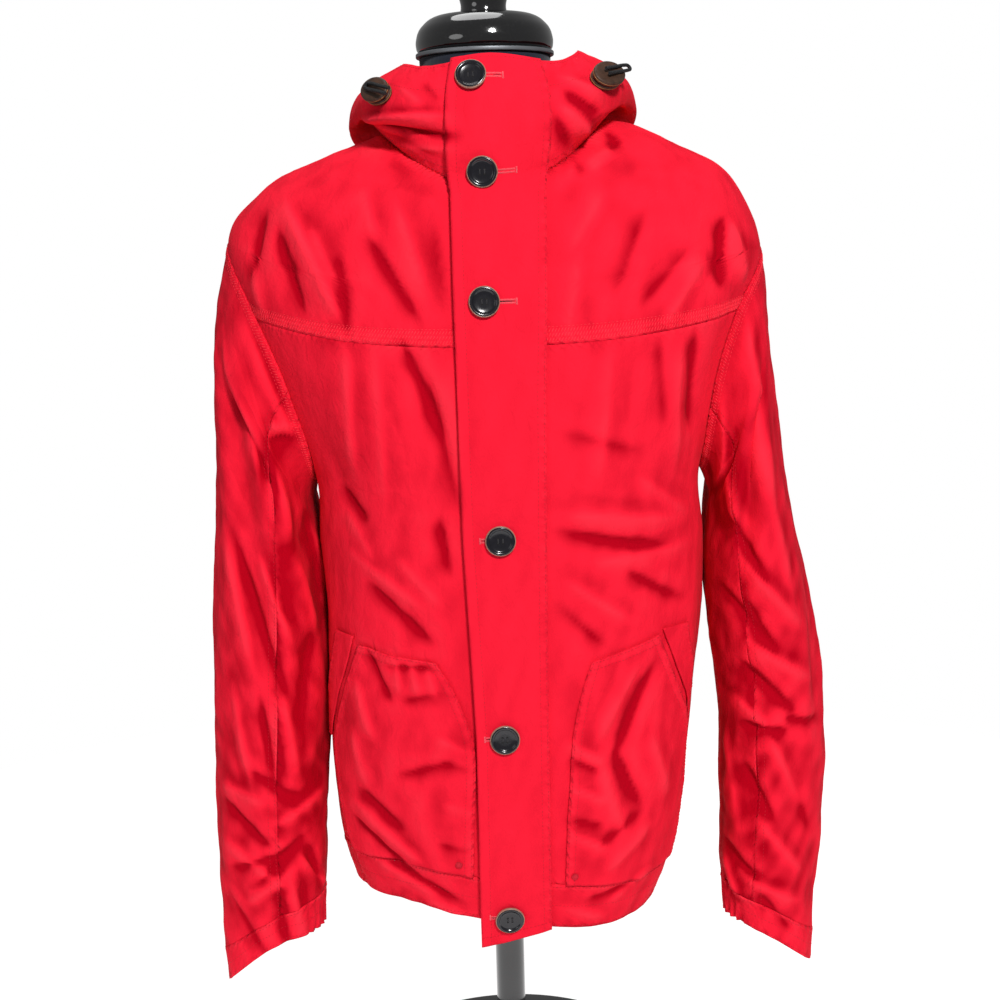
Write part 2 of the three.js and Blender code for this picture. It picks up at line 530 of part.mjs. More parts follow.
// Seat on the flap for a round piece: average direction, and clear of every facet under it
function seatOnFlap(x, z, radius) {
  const under = [];
  flapRows.slice(0, -1).forEach((row, j) => row.slice(0, -1).forEach((corner, i) => {
    for (const u of [0, 0.25, 0.5, 0.75, 1]) {
      for (const v of [0, 0.25, 0.5, 0.75, 1]) {
        const low = corner.p.clone().lerp(row[i + 1].p, u);
        const high = flapRows[j + 1][i].p.clone().lerp(flapRows[j + 1][i + 1].p, u);
        const p = low.lerp(high, v);
        if (Math.hypot(p.x - x, p.z - z) < radius * 0.8) under.push({ p, n: corner.n });
      }
    }
  }));
  const n = new THREE.Vector3();
  for (const q of under) n.add(q.n);
  n.normalize();
  const centre = new THREE.Vector3(x, 0, z);
  const reach = Math.max(...under.map((q) => q.p.clone().sub(centre).dot(n)));
  const along = (reach + SEAT) / n.y;
  return { p: new THREE.Vector3(x, along, z), n };
}

function pocketPiece(name) {
  const rows = POCKETS[name].map(({ front_x, front_z, mouth_x, mouth_z }) => {
    const from = angleAt(front_x, rowAt(front_z));
    const to = angleAt(mouth_x, rowAt(mouth_z));
    return spread(0, 1, POCKET_COLUMNS).map((share) => {
      const angle = mix(from, to, share);
      const row = mix(rowAt(front_z), rowAt(mouth_z), share);
      const n = normalOf(bodyPoint, angle, row);
      return { p: bodyPoint(angle, row).addScaledVector(n, LAID_ON + CLOTH), n, t: CLOTH };
    });
  });
  return wall(rows);
}
function weltPiece(name) {
  const table = WELTS[name];
  const rows = spread(table[0].z, table[table.length - 1].z, 6).map((z) => {
    const row = rowAt(z);
    const start = angleAt(lookUp(table, 'z', 'from', z), row);
    const end = start + Math.sign(start) * lookUp(table, 'z', 'width', z);
    return spread(start, end, 2).map((angle) => {
      const n = normalOf(bodyPoint, angle, row);
      return { p: bodyPoint(angle, row).addScaledVector(n, LAID_ON + CLOTH), n, t: CLOTH };
    });
  });
  return wall(rows);
}

// Solid of revolution about a line through a point, from radius and height pairs along that line
function turned(profile, segments, place, direction) {
  const points = profile.map(([r, h]) => new THREE.Vector2(r, h));
  let geometry = new THREE.LatheGeometry(points, segments);
  geometry.deleteAttribute('uv');
  geometry.deleteAttribute('normal');
  geometry = mergeVertices(geometry, 1e-3);
  const turn = new THREE.Quaternion().setFromUnitVectors(new THREE.Vector3(0, 1, 0), direction);
  geometry.applyQuaternion(turn);
  geometry.translate(place.x, place.y, place.z);
  return facingOut(Array.from(geometry.attributes.position.array), dropThin(geometry));
}
// Triangle list without the ones that merging at the axis has made empty
function dropThin(geometry) {
  const index = Array.from(geometry.index.array);
  const kept = [];
  for (let f = 0; f < index.length; f += 3) {
    const [a, b, c] = index.slice(f, f + 3);
    if (a !== b && b !== c && a !== c) kept.push(a, b, c);
  }
  return kept;
}

function buttonPiece({ x, z }) {
  const r = BUTTON_DIAMETER / 2;
  const seat = seatOnFlap(x, z, r);
  const profile = [
    [0, 0], [r * 0.75, 0], [r, 2.2], [r * 0.95, BUTTON_THICK], [r * 0.8, BUTTON_THICK], [r * 0.66, 3], [0, 2.7],
  ];
  return turned(profile, 18, seat.p, seat.n);
}

// Angle and step of the hood's outer face that is seen from the front at an x and a height
function hoodAt(x, z) {
  let angle = 40 * Math.sign(x);
  let step = 2;
  for (let k = 0; k < 60; k += 1) {
    const p = hoodPoint(angle, step);
    step = THREE.MathUtils.clamp(step + (z - p.z) / 60, 0.2, 4.6);
    angle = THREE.MathUtils.clamp(angle + (x - p.x) / 4, -80, 80);
  }
  return { p: hoodPoint(angle, step), n: normalOf(hoodPoint, angle, step) };
}
// Leather cord lock: a short oval barrel lying across the hood beside its eyelet
const TOGGLES = {
  right: { x: -88, z: 955, half_length: 16, half_height: 11.5, half_thick: 5.5, tilt: -14, off: -0.05 },
  left: { x: 99, z: 962, half_length: 18, half_height: 12, half_thick: 6, tilt: 10, off: -0.15 },
};
function toggleFrame(name) {
  const { x, z, half_thick, tilt, off } = TOGGLES[name];
  const { p, n } = hoodAt(x, z);
  const across = UP.clone().cross(n).normalize();
  across.applyAxisAngle(n, radians(tilt));
  const inward = n.clone().negate();
  const up = across.clone().cross(inward);
  return new THREE.Matrix4().makeBasis(across, inward, up).setPosition(p.addScaledVector(n, half_thick + off));
}
function togglePiece(name) {
  const { half_length, half_height, half_thick } = TOGGLES[name];
  const rounds = [[0, -1], [0.72, -1], [0.93, -0.8], [1, -0.45], [1, 0.45], [0.93, 0.8], [0.72, 1], [0, 1]];
  const geometry = turned(rounds, 14, new THREE.Vector3(), new THREE.Vector3(1, 0, 0));
  geometry.scale(half_length, half_thick, half_height);
  return geometry.applyMatrix4(toggleFrame(name));
}
// Elastic cord: doubled, from the hood's eyelet along the barrel's face to its loop
const CORD_RUNS = { right: { inner: 27, loop: 8 }, left: { inner: 8, loop: 25 } };
const CORD_HALF_SPAN = 2.6;
function cordRoute(name) {
  const outward = name === 'right' ? -1 : 1;
  const { inner, loop } = CORD_RUNS[name];
  const face = TOGGLES[name].half_thick + CORD_RADIUS + SEAT;
  const place = (along, up) => new THREE.Vector3(outward * along, -face, up).applyMatrix4(toggleFrame(name));
  return [
    place(-inner, CORD_HALF_SPAN), place(mix(-inner, loop, 0.4), CORD_HALF_SPAN), place(loop - 4, CORD_HALF_SPAN),
    place(loop - 1, 2), place(loop, 0), place(loop - 1, -2),
    place(loop - 4, -CORD_HALF_SPAN), place(mix(-inner, loop, 0.4), -CORD_HALF_SPAN), place(-inner, -CORD_HALF_SPAN),
  ];
}
function cordPiece(name) {
  const path = new THREE.CatmullRomCurve3(cordRoute(name), false, 'centripetal');
  const section = new THREE.Shape();
  section.absarc(0, 0, CORD_RADIUS, 0, Math.PI * 2);
  const along = { steps: 20, extrudePath: path, curveSegments: 4, bevelEnabled: false };
  let geometry = new THREE.ExtrudeGeometry(section, along);
  geometry.deleteAttribute('uv');
  geometry.deleteAttribute('normal');
  geometry = mergeVertices(geometry, 1e-3);
  return facingOut(Array.from(geometry.attributes.position.array), dropThin(geometry));
}

// Form torso: the coat's own sections, drawn in, and the neck above them
const FORM_ROWS = [
  { row: 0.9, ease: 24 }, { row: 1.3, ease: 17 }, { row: 2.4, ease: 15 }, { row: 3.6, ease: 17 },
  { row: 5, ease: 17 }, { row: 6, ease: 16 }, { row: 7, ease: 16 }, { row: 8, ease: 16 },
];
const FORM_FOOT = 262;        // flat underside of the torso
const FORM_SHOULDER_EASE = 9;
const FORM_NECK = [{ z: 937, radius: 72 }, { z: 953, radius: 62 }, { z: 974, radius: NECK_RADIUS }, { z: NECK_TOP, radius: NECK_RADIUS }];
// Ease between form and coat: only a seat on top of the shoulders, where the coat hangs
function formEase(angle, row, ease) {
  const onShoulder = bell((Math.abs(angle) - 90) / 50) * bell((row - 10.9) / 2.4);
  return CLOTH + mix(ease, SEAT, Math.min(onShoulder * 2.2, 1));
}
function torsoPiece() {
  const columns = [...spread(0, 90, FRONT_COLUMNS / 2), ...spread(90, 180, BACK_COLUMNS / 2).slice(1)];
  const angles = [...columns, ...columns.slice(1, -1).reverse().map((a) => -a)];
  const shoulder = YOKE_ROWS.filter((row) => row >= TIP_ROW).map((row) => ({ row, ease: FORM_SHOULDER_EASE }));
  const rows = [...FORM_ROWS, ...shoulder].map(({ row, ease }) => angles.map((angle) => {
    const n = normalOf(bodyShape, angle, row);
    return bodyShape(angle, row).addScaledVector(n, -formEase(angle, row, ease));
  }));
  rows[0].forEach((p) => p.setZ(FORM_FOOT));
  for (const { z, radius } of FORM_NECK) {
    rows.push(angles.map((a) => new THREE.Vector3(radius * Math.sin(radians(a)), -radius * Math.cos(radians(a)), z)));
  }
  return lofted(rows);
}
// Closed solid through rings, with a flat fan at each end
function lofted(rows) {
  const across = rows[0].length;
  const vertices = rows.flat().flatMap((p) => p.toArray());
  const faces = [];
  for (let j = 0; j < rows.length - 1; j += 1) {
    for (let i = 0; i < across; i += 1) {
      const a = j * across + i;
      const b = j * across + ((i + 1) % across);
      faces.push(a, b, b + across, a, b + across, a + across);
    }
  }
  for (const [j, flip] of [[0, true], [rows.length - 1, false]]) {
    const centre = vertices.length / 3;
    const middle = new THREE.Vector3();
    rows[j].forEach((p) => middle.addScaledVector(p, 1 / across));
    vertices.push(...middle.toArray());
    for (let i = 0; i < across; i += 1) {
      const a = j * across + i;
      const b = j * across + ((i + 1) % across);
      if (flip) faces.push(centre, b, a);
      else faces.push(centre, a, b);
    }
  }
  return facingOut(vertices, faces);
}

const model = new THREE.Group();
function add(name, geometry, material) {
  const mesh = new THREE.Mesh(geometry, material);
  mesh.name = name;
  model.add(mesh);
}

// Coat body
for (const [side, name] of [[-1, 'right'], [1, 'left']]) {
  add(`front_${name}`, frontPiece(side, LOWER_ROWS, ['bottom', 'top', 'first', 'last']), red);
  add(`yoke_front_${name}`, frontPiece(side, YOKE_ROWS, ['bottom', 'top', 'first', 'last']), red);
  add(`hem_band_front_${name}`, frontPiece(side, BAND_ROWS, ['top', 'first', 'last']), red);
  add(`pocket_${name}`, pocketPiece(name), red);
  add(`pocket_welt_${name}`, weltPiece(name), red);
}
add('back', backPiece(LOWER_ROWS, ['bottom', 'top', 'first', 'last']), red);
add('yoke_back', backPiece(YOKE_ROWS, ['bottom', 'top', 'first', 'last']), red);
add('hem_band_back', backPiece(BAND_ROWS, ['top', 'first', 'last']), red);
add('storm_flap', wall(flapRows), red);

// Sleeves
const SLEEVE_ROWS = [0, 0.5, ...spread(1, CUFF_ROW, 12)];
for (const [side, name] of [[-1, 'right'], [1, 'left']]) {
  const seam = SLEEVE_SEAM[name];
  const trims = ['bottom', 'top', 'first', 'last'];
  add(`sleeve_top_${name}`, sleevePiece(side, -seam, seam, SLEEVE_ROWS, trims), red);
  add(`sleeve_under_${name}`, sleevePiece(side, seam, 360 - seam, SLEEVE_ROWS, trims), red);
  add(`cuff_${name}`, cuffPiece(side), red);
}

// Hood, three pieces
const hoodColumns = hoodAngles();
const hoodSplit = FRONT_COLUMNS + HOOD_SIDE_SEAM_COLUMN;
const hoodSideAngles = hoodColumns.slice(0, hoodSplit + 1);
const hoodBackAngles = hoodColumns.slice(hoodSplit);
add('hood_side_left', hoodPiece(hoodSideAngles, ['bottom', 'first', 'last']), red);
add('hood_side_right', hoodPiece(hoodSideAngles.map((a) => -a), ['bottom', 'first', 'last']), red);
const centreAngles = [...hoodBackAngles, ...hoodBackAngles.slice(0, -1).reverse().map((a) => 360 - a)];
add('hood_centre', hoodPiece(centreAngles, ['bottom', 'first', 'last']), red);

// Buttons, cord locks and cords
BUTTONS.forEach((place, i) => add(`button_${i + 1}`, buttonPiece(place), buttonBlack));
for (const name of ['right', 'left']) {
  add(`cord_lock_${name}`, togglePiece(name), leatherBrown);
  add(`drawcord_${name}`, cordPiece(name), cordBlack);
}

// Dress form and stand
const onAxis = new THREE.Vector3();
add('form_torso', torsoPiece(), formNavy);
add('form_neck_trim', turned([[0, NECK_TOP + SEAM_GAP], [61, NECK_TOP + SEAM_GAP], [61, 994.5], [0, 994.5]], 32, onAxis, UP), greyTrim);
add('form_neck_cap', turned([
  [0, 994.9], [59.5, 994.9], [61, 1003], [58.5, 1014], [50, 1022.5], [42, 1026], [0, 1026],
], 32, onAxis, UP), blackLacquer);
add('form_knob', turned([
  [0, 1026.4], [21, 1026.4], [19.5, 1034], [22, 1044], [23.5, 1054], [21, 1064], [12, 1072], [0, 1074],
], 24, onAxis, UP), blackLacquer);
add('form_flange', turned([
  [0, 0], [FLANGE_RADIUS, 0], [FLANGE_RADIUS, FLANGE_THICK], [0, FLANGE_THICK],
], 32, new THREE.Vector3(0, 0, FORM_FOOT - FLANGE_THICK - SEAM_GAP), UP), blackLacquer);
add('stand_pole', turned([
  [0, BASE_THICK + SEAM_GAP], [POLE_RADIUS, BASE_THICK + SEAM_GAP],
  [POLE_RADIUS, FORM_FOOT - FLANGE_THICK - 2 * SEAM_GAP], [0, FORM_FOOT - FLANGE_THICK - 2 * SEAM_GAP],
], 24, onAxis, UP), blackLacquer);
add('stand_base', turned([
  [0, 0], [BASE_RADIUS, 0], [BASE_RADIUS, 6], [BASE_RADIUS - 6, BASE_THICK - 1], [BASE_RADIUS - 30, BASE_THICK], [0, BASE_THICK],
], 40, onAxis, UP), blackLacquer);

export default model;
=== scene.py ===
# Looks of a hooded raincoat that hangs on a limbless dress form.
# Tables and surface functions are in millimetres, as the solids' are; meshes are made in metres.
# Front faces -Y. Right and left are the wearer's: the right side has negative x.
import math
from functools import lru_cache

import bmesh
import bpy
from mathutils import Matrix, Vector, noise
from mathutils.kdtree import KDTree


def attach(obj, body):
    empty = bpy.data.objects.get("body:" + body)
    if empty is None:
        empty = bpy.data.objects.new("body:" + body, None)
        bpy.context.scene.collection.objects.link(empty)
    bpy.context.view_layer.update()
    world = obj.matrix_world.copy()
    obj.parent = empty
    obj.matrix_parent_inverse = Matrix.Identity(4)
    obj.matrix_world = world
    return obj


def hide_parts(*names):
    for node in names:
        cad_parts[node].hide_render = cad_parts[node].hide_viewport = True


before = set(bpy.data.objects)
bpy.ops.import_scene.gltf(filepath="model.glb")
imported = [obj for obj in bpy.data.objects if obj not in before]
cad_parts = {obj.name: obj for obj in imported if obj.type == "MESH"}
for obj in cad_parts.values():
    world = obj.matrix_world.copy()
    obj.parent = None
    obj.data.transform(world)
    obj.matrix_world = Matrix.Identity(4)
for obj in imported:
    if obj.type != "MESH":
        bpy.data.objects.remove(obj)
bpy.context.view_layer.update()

MM = 0.001

# Cloth
CLOTH = 0.9                 # visible thickness of one sewn layer
FLAP_CLOTH = 1.6            # storm flap, two layers
CLOTH_PITCH = 3.2           # distance between the points of a cloth mesh
PATCH_PITCH = 2.6           # the same for the flap, the pockets and their welts
LAID_ON = 0.45              # gap under a piece that lies on another
STITCH_PITCH = 3.4
STITCH_LENGTH = 2.3
STITCH_THICK = 0.5
STITCH_LIFT = 0.07          # middle of a stitch above the cloth
CORD_RADIUS = 1.5

# Coat sections from hem to neck seam: heights at front, side and back, how much higher the left side is,
# how much the front's right corner is drawn up, half width, centre, depths and squareness
COAT_SECTIONS = [
    (231, 230, 234, 0, 14, 145, 0, 122, 114, 2.2),     # hem edge
    (274, 273, 276, 0, 13, 158, 2, 129, 121, 2.3),     # hem band top
    (337, 336, 339, 0, 7, 167, 5, 134, 126, 2.45),     # pocket foot
    (410, 410, 412, 0, 3, 171, 9, 135, 129, 2.5),      # pocket middle
    (490, 490, 492, 0, 0, 174, 14, 134, 130, 2.5),     # waist
    (560, 560, 562, 0, 0, 173, 15, 135, 130, 2.5),     # ribs
    (628, 626, 630, 0, 0, 171, 15, 135, 129, 2.45),    # armpit
    (692, 698, 702, -1, 0, 201, 9, 134, 128, 2.45),    # armhole low
    (746, 773, 770, -3, 0, 227, 5, 131, 126, 2.45),    # yoke seam
    (796, 829, 831, -8, 0, 238, 4, 127, 122, 2.35),    # shoulder tip
    (833, 881, 876, 2, 0, 208, 5, 122, 117, 2.3),      # shoulder outer
    (854, 908, 904, 4, 0, 162, 5, 117, 109, 2.2),      # shoulder middle
    (867, 923, 922, 5, 0, 126, 5, 112, 98, 2.1),       # shoulder inner
    (877, 931, 934, 4, 0, 98, 5, 107, 85, 2.0),        # neck seam
]
FRONT_Z, SIDE_Z, BACK_Z, LEAN, SLANT, HALF, CENTRE, FRONT, BACK, SQUARE = range(10)
BAND_ROW, ARMPIT_ROW, YOKE_ROW, TIP_ROW, NECK_ROW = 1, 6, 8, 9, 13
ARMHOLE_FRONT = 26
ARMHOLE_BACK = 24

# The largest folds of the body: angle, rows from and to, width in degrees, outward depth
BODY_FOLDS = [
    (-58, 4.6, 9.4, 17, -2), (-74, 1.2, 5.4, 16, 1), (-86, 4.0, 7.7, 32, 10), (60, 5.2, 9.2, 15, -5),
    (76, 1.2, 5.2, 15, -6), (122, 0.4, 7.6, 18, -10), (150, 0.2, 6.8, 17, 8), (178, 0.2, 6.4, 18, -8),
    (207, 0.2, 7.0, 17, 8), (236, 0.4, 7.6, 18, -10),
]

# Sleeve sections below the armhole: outer x and z, inner x and z, depth, centre y, rise of the front
SLEEVE_SECTIONS = {
    -1: [
        (-243, 804, -170, 600, 72, 2, 0), (-250, 766, -167, 582, 74, 1, 0), (-254, 716, -163, 562, 75, 0, 0),
        (-257, 660, -161, 540, 74, -2, 0), (-260, 600, -160.5, 512, 72, -5, 0),
        (-265, 532, -160.5, 472, 69, -9, 0), (-269, 460, -162.5, 424, 65, -13, 0),
        (-272, 390, -166, 370, 61, -17, 0), (-274, 322, -170, 314, 57, -20, 0),
        (-275, 250, -172, 262, 52, -22, 2), (-275, 172, -174, 228, 47, -24, 12),
        (-272, 138, -177, 194, 44, -25, 18),
    ],
    1: [
        (247, 792, 197, 600, 72, 2, 0), (250, 756, 196, 582, 75, 1, 0), (254, 708, 194, 562, 77, 0, 0),
        (261, 655, 192, 540, 77, -2, 0), (270, 598, 192, 512, 75, -5, 0), (284, 528, 194, 472, 71, -9, 0),
        (296, 456, 200, 424, 67, -13, 0), (301, 386, 203, 370, 63, -17, 0), (301, 318, 204, 314, 58, -20, 0),
        (298, 250, 204, 260, 53, -22, 2), (294, 176, 204, 226, 47, -24, 8), (290, 143, 206, 194, 44, -25, 12),
    ],
}
CUFF_ROW = 11
SLEEVE_END = 12
SLEEVE_SEAM = {-1: 104, 1: 118}      # degrees of the front seam, forward of the outer edge
# Largest sleeve folds: degrees at the top and bottom end, rows from and to, width, outward depth
SLEEVE_FOLDS = {
    -1: [(42, 92, 0.4, 6.8, 26, -10), (128, 150, 1, 6, 24, -6), (-60, -85, 1, 8, 30, -8), (60, 70, 6.6, 10.4, 26, -4)],
    1: [(60, 118, 0.5, 6, 26, -10), (20, 48, 5.2, 9, 24, -5), (-55, -90, 1, 8, 30, -8), (84, 70, 7, 10.6, 24, -4)],
}

# Hood lying down: steps out from and up above the neck seam at each angle round from the front
HOOD_STATIONS = {
    0: [(0, 0), (1.5, 24), (2, 46), (0, 68), (-6, 89), (-15, 107)],
    45: [(0, 0), (9, 12), (18, 24), (18, 44), (6, 61), (-11, 76)],
    90: [(0, 0), (12, 11), (22, 10), (25, 22), (11, 42), (-20, 56)],
    135: [(0, 0), (13, 12), (46, -6), (66, -22), (62, 22), (10, 50)],
    180: [(0, 0), (14, 12), (50, -62), (80, -158), (118, -96), (98, -2)],
}
HOOD_SEAM_ANGLE = 153       # between the hood's side pieces and its centre piece

# Storm flap: height, x of the free edge and of the seam, lift of the free edge
FLAP_EDGES = [
    (205, -24, 38, 2.5), (237, -24, 38, 2.5), (410, -23, 39, 3), (585, -29, 41, 2.5), (703, -30, 43, 3),
    (783, -31, 46, 3), (877, -31, 48, 3), (984, -30, 50, 1.5),
]
FLAP_FOOT_RISE = 25
FLAP_LOW, FLAP_HIGH = FLAP_EDGES[0][0], FLAP_EDGES[-1][0]
BUTTONS = [(-12, 965), (-4, 889), (-6, 783), (2, 584), (1, 409), (1, 238)]

# Patch pockets: x and z of the front edge, x and z of the mouth edge
POCKETS = {
    "right": [
        (-30, 274, -139, 274), (-29, 300, -146, 302), (-27, 338, -151, 342), (-25, 376, -152, 384),
        (-26, 404, -147, 412), (-34, 432, -139, 440), (-45, 458, -131, 466), (-56, 476, -123, 486),
    ],
    "left": [
        (51, 274, 151, 274), (52, 300, 158, 302), (54, 338, 164, 338), (57, 376, 166, 376),
        (59, 404, 164, 411), (64, 432, 156, 438), (71, 458, 147, 465), (77, 474, 137, 490),
    ],
}
# Strip behind the mouth of each pocket: height, x of its front edge, width in degrees
WELTS = {
    "right": [(384, -157, 4), (430, -147, 12), (492, -128, 14)],
    "left": [(384, 170, 4), (430, 164, 10), (494, 142, 14)],
}

# Leather cord locks: x, z, half length, half height, half thickness, tilt
CORD_LOCKS = {"right": (-88, 955, 16, 11.5, 5.5, -14), "left": (99, 962, 18, 12, 6, 10)}
CORD_RUNS = {"right": (27, 8), "left": (8, 25)}      # from the lock's middle in to the eyelet, out to the loop
CORD_HALF_SPAN = 2.6


def mix(a, b, share):
    return a + (b - a) * share


def clamp(value, low=0.0, high=1.0):
    return max(low, min(high, value))


def smooth(share):
    share = clamp(share)
    return share * share * (3 - 2 * share)


def bell(x):
    return (1 - x * x) ** 2 if abs(x) < 1 else 0.0


def signed_power(value, power):
    return math.copysign(abs(value) ** power, value)


def sine_cosine(degrees):
    return math.sin(math.radians(degrees)), math.cos(math.radians(degrees))


def turn_between(start, end):
    """Degrees from one angle to another, the short way round."""
    return (end - start + 540) % 360 - 180


def from_front(angle):
    """Degrees away from the front, to either side."""
    return abs((angle + 180) % 360 - 180)


def spread(start, end, count):
    return [mix(start, end, i / count) for i in range(count + 1)]


def through(values, t):
    """Catmull-Rom through a list of numbers, straight on past its ends."""
    last = len(values) - 1
    i = int(clamp(math.floor(t), 0, last - 1))
    f = t - i
    b, c = values[i], values[i + 1]
    a = values[i - 1] if i > 0 else 2 * b - c
    d = values[i + 2] if i + 2 <= last else 2 * c - b
    return 0.5 * (2 * b + (c - a) * f + (2 * a - 5 * b + 4 * c - d) * f**2 + (3 * b - a - 3 * c + d) * f**3)


def look_up(table, value):
    """The other columns of a table at a value of its first column."""
    i = 0
    while i < len(table) - 2 and table[i + 1][0] < value:
        i += 1
    low, high = table[i], table[i + 1]
    share = clamp((value - low[0]) / (high[0] - low[0]), -1, 1.5)
    return [mix(a, b, share) for a, b in zip(low[1:], high[1:])]


COAT_COLUMNS = list(zip(*COAT_SECTIONS))


@lru_cache(maxsize=None)
def section(row):
    return [through(column, row) for column in COAT_COLUMNS]


def body_fold(angle, row):
    push = 0.0
    for at, start, end, width, depth in BODY_FOLDS:
        turn = turn_between(at, angle)
        if abs(turn) < width:
            push += depth * bell(turn / width) * bell((row - (start + end) / 2) / ((end - start) / 2))
    return push


def body_shape(angle, row, push=0.0):
    """Point of the coat's body at degrees round from the front and a row up from the hem."""
    r = section(row)
    s, c = sine_cosine(angle)
    power = 2 / r[SQUARE]
    depth, height = (r[FRONT], r[FRONT_Z]) if c > 0 else (r[BACK], r[BACK_Z])
    x = r[CENTRE] + r[HALF] * signed_power(s, power) + push * s
    y = -depth * signed_power(c, power) - push * c
    drawn = -2 * s * c * r[SLANT] if c > 0 else 0.0
    return Vector((x, y, r[SIDE_Z] + (height - r[SIDE_Z]) * c * c + r[LEAN] * s**3 + drawn))


def body_point(angle, row):
    return body_shape(angle, row, body_fold(angle, row))


def normal_of(surface, u, v, du=0.5, dv=0.02):
    along = surface(u + du, v) - surface(u - du, v)
    return along.cross(surface(u, v + dv) - surface(u, v - dv)).normalized()


def armhole_row(turn):
    """Row of the armhole's oval: turn is 0 at the shoulder tip and 180 at the armpit."""
    return (ARMPIT_ROW + TIP_ROW) / 2 + (TIP_ROW - ARMPIT_ROW) / 2 * math.cos(math.radians(turn))


def armhole_angle(side, turn):
    s = math.sin(math.radians(turn))
    return side * (90 - (ARMHOLE_FRONT if s > 0 else ARMHOLE_BACK) * s)


def side_edge(row, reach):
    """Angle where a front or back piece ends at a row: the side seam or the armhole."""
    if row <= ARMPIT_ROW or row >= TIP_ROW:
        return 90.0
    middle = (ARMPIT_ROW + TIP_ROW) / 2
    c = clamp((row - middle) / (TIP_ROW - middle), -1, 1)
    return 90 - reach * math.sqrt(1 - c * c)


def ring_point(section_row, turn):
    outer_x, outer_z, inner_x, inner_z, depth, centre_y, rise = section_row
    s, c = sine_cosine(turn)
    z = (outer_z + inner_z) / 2 + (outer_z - inner_z) / 2 * c + (rise * s * s if s > 0 else 0)
    return Vector(((outer_x + inner_x) / 2 + (outer_x - inner_x) / 2 * c, centre_y - depth * s, z))


@lru_cache(maxsize=None)
def sleeve_rings(side, turn):
    """Points down the length of a sleeve at one turn: the armhole first, then its sections."""
    start = body_point(armhole_angle(side, turn), armhole_row(turn))
    points = [start] + [ring_point(r, turn) for r in SLEEVE_SECTIONS[side]]
    return list(zip(*points))


def sleeve_point(side, turn, row):
    """Point of a sleeve at degrees round from its outer edge to the front, and a row down from the armhole."""
    point = Vector([through(values, row) for values in sleeve_rings(side, turn)])
    push = 0.0
    for top, bottom, start, end, width, depth in SLEEVE_FOLDS[side]:
        share = (row - start) / (end - start)
        away = turn_between(mix(top, bottom, share), turn)
        push += depth * bell(away / width) * bell(share * 2 - 1)
    s, c = sine_cosine(turn)
    return point + Vector((side * c, -s, 0)) * push


HOOD_ANGLES = sorted(HOOD_STATIONS)


@lru_cache(maxsize=None)
def hood_profile(station):
    """Steps out and up at an angle between 0 and 180, smooth across the front and the back."""
    outs, ups = [], []
    for step in range(6):
        for column, values in ((0, outs), (1, ups)):
            at = [HOOD_STATIONS[a][step][column] for a in HOOD_ANGLES]
            values.append(through([at[1], *at, at[3]], station / 45 + 1))
    return outs, ups


def hood_point(angle, step):
    seam = body_point(angle, NECK_ROW)
    outs, ups = hood_profile(from_front(angle))
    outward = Vector((seam.x - section(NECK_ROW)[CENTRE], seam.y, 0)).normalized()
    return seam + outward * through(outs, step) + Vector((0, 0, through(ups, step)))


def angle_at(x, row):
    """Angle on the front at which the body has an x."""
    r = section(row)
    return math.degrees(math.asin(signed_power(clamp((x - r[CENTRE]) / r[HALF], -1, 1), r[SQUARE] / 2)))


def bisect(value, low, high):
    for _ in range(36):
        middle = (low + high) / 2
        low, high = (middle, high) if value(middle) else (low, middle)
    return (low + high) / 2


@lru_cache(maxsize=None)
def row_at(z):
    """Row of the body whose front is at a height."""
    return bisect(lambda row: section(row)[FRONT_Z] < z, -1, NECK_ROW)


@lru_cache(maxsize=None)
def hood_step_at(z):
    return bisect(lambda step: hood_point(0, step).z < z, 0, 5.2)


def front_at(x, z):
    """Point and normal of the coat's front at an x and a height: body, or hood above the neck seam."""
    if z <= COAT_SECTIONS[NECK_ROW][FRONT_Z]:
        row = row_at(z)
        angle = angle_at(x, row)
        return body_point(angle, row), normal_of(body_point, angle, row)
    angle, step = angle_at(x, NECK_ROW), hood_step_at(z)
    return hood_point(angle, step), normal_of(hood_point, angle, step)


def hood_at(x, z):
    """Point and normal of the hood that is seen from the front at an x and a height."""
    angle, step = math.copysign(40, x), 2.0
    for _ in range(60):
        p = hood_point(angle, step)
        step = clamp(step + (z - p.z) / 60, 0.2, 4.6)
        angle = clamp(angle + (x - p.x) / 4, -80, 80)
    return hood_point(angle, step), normal_of(hood_point, angle, step)


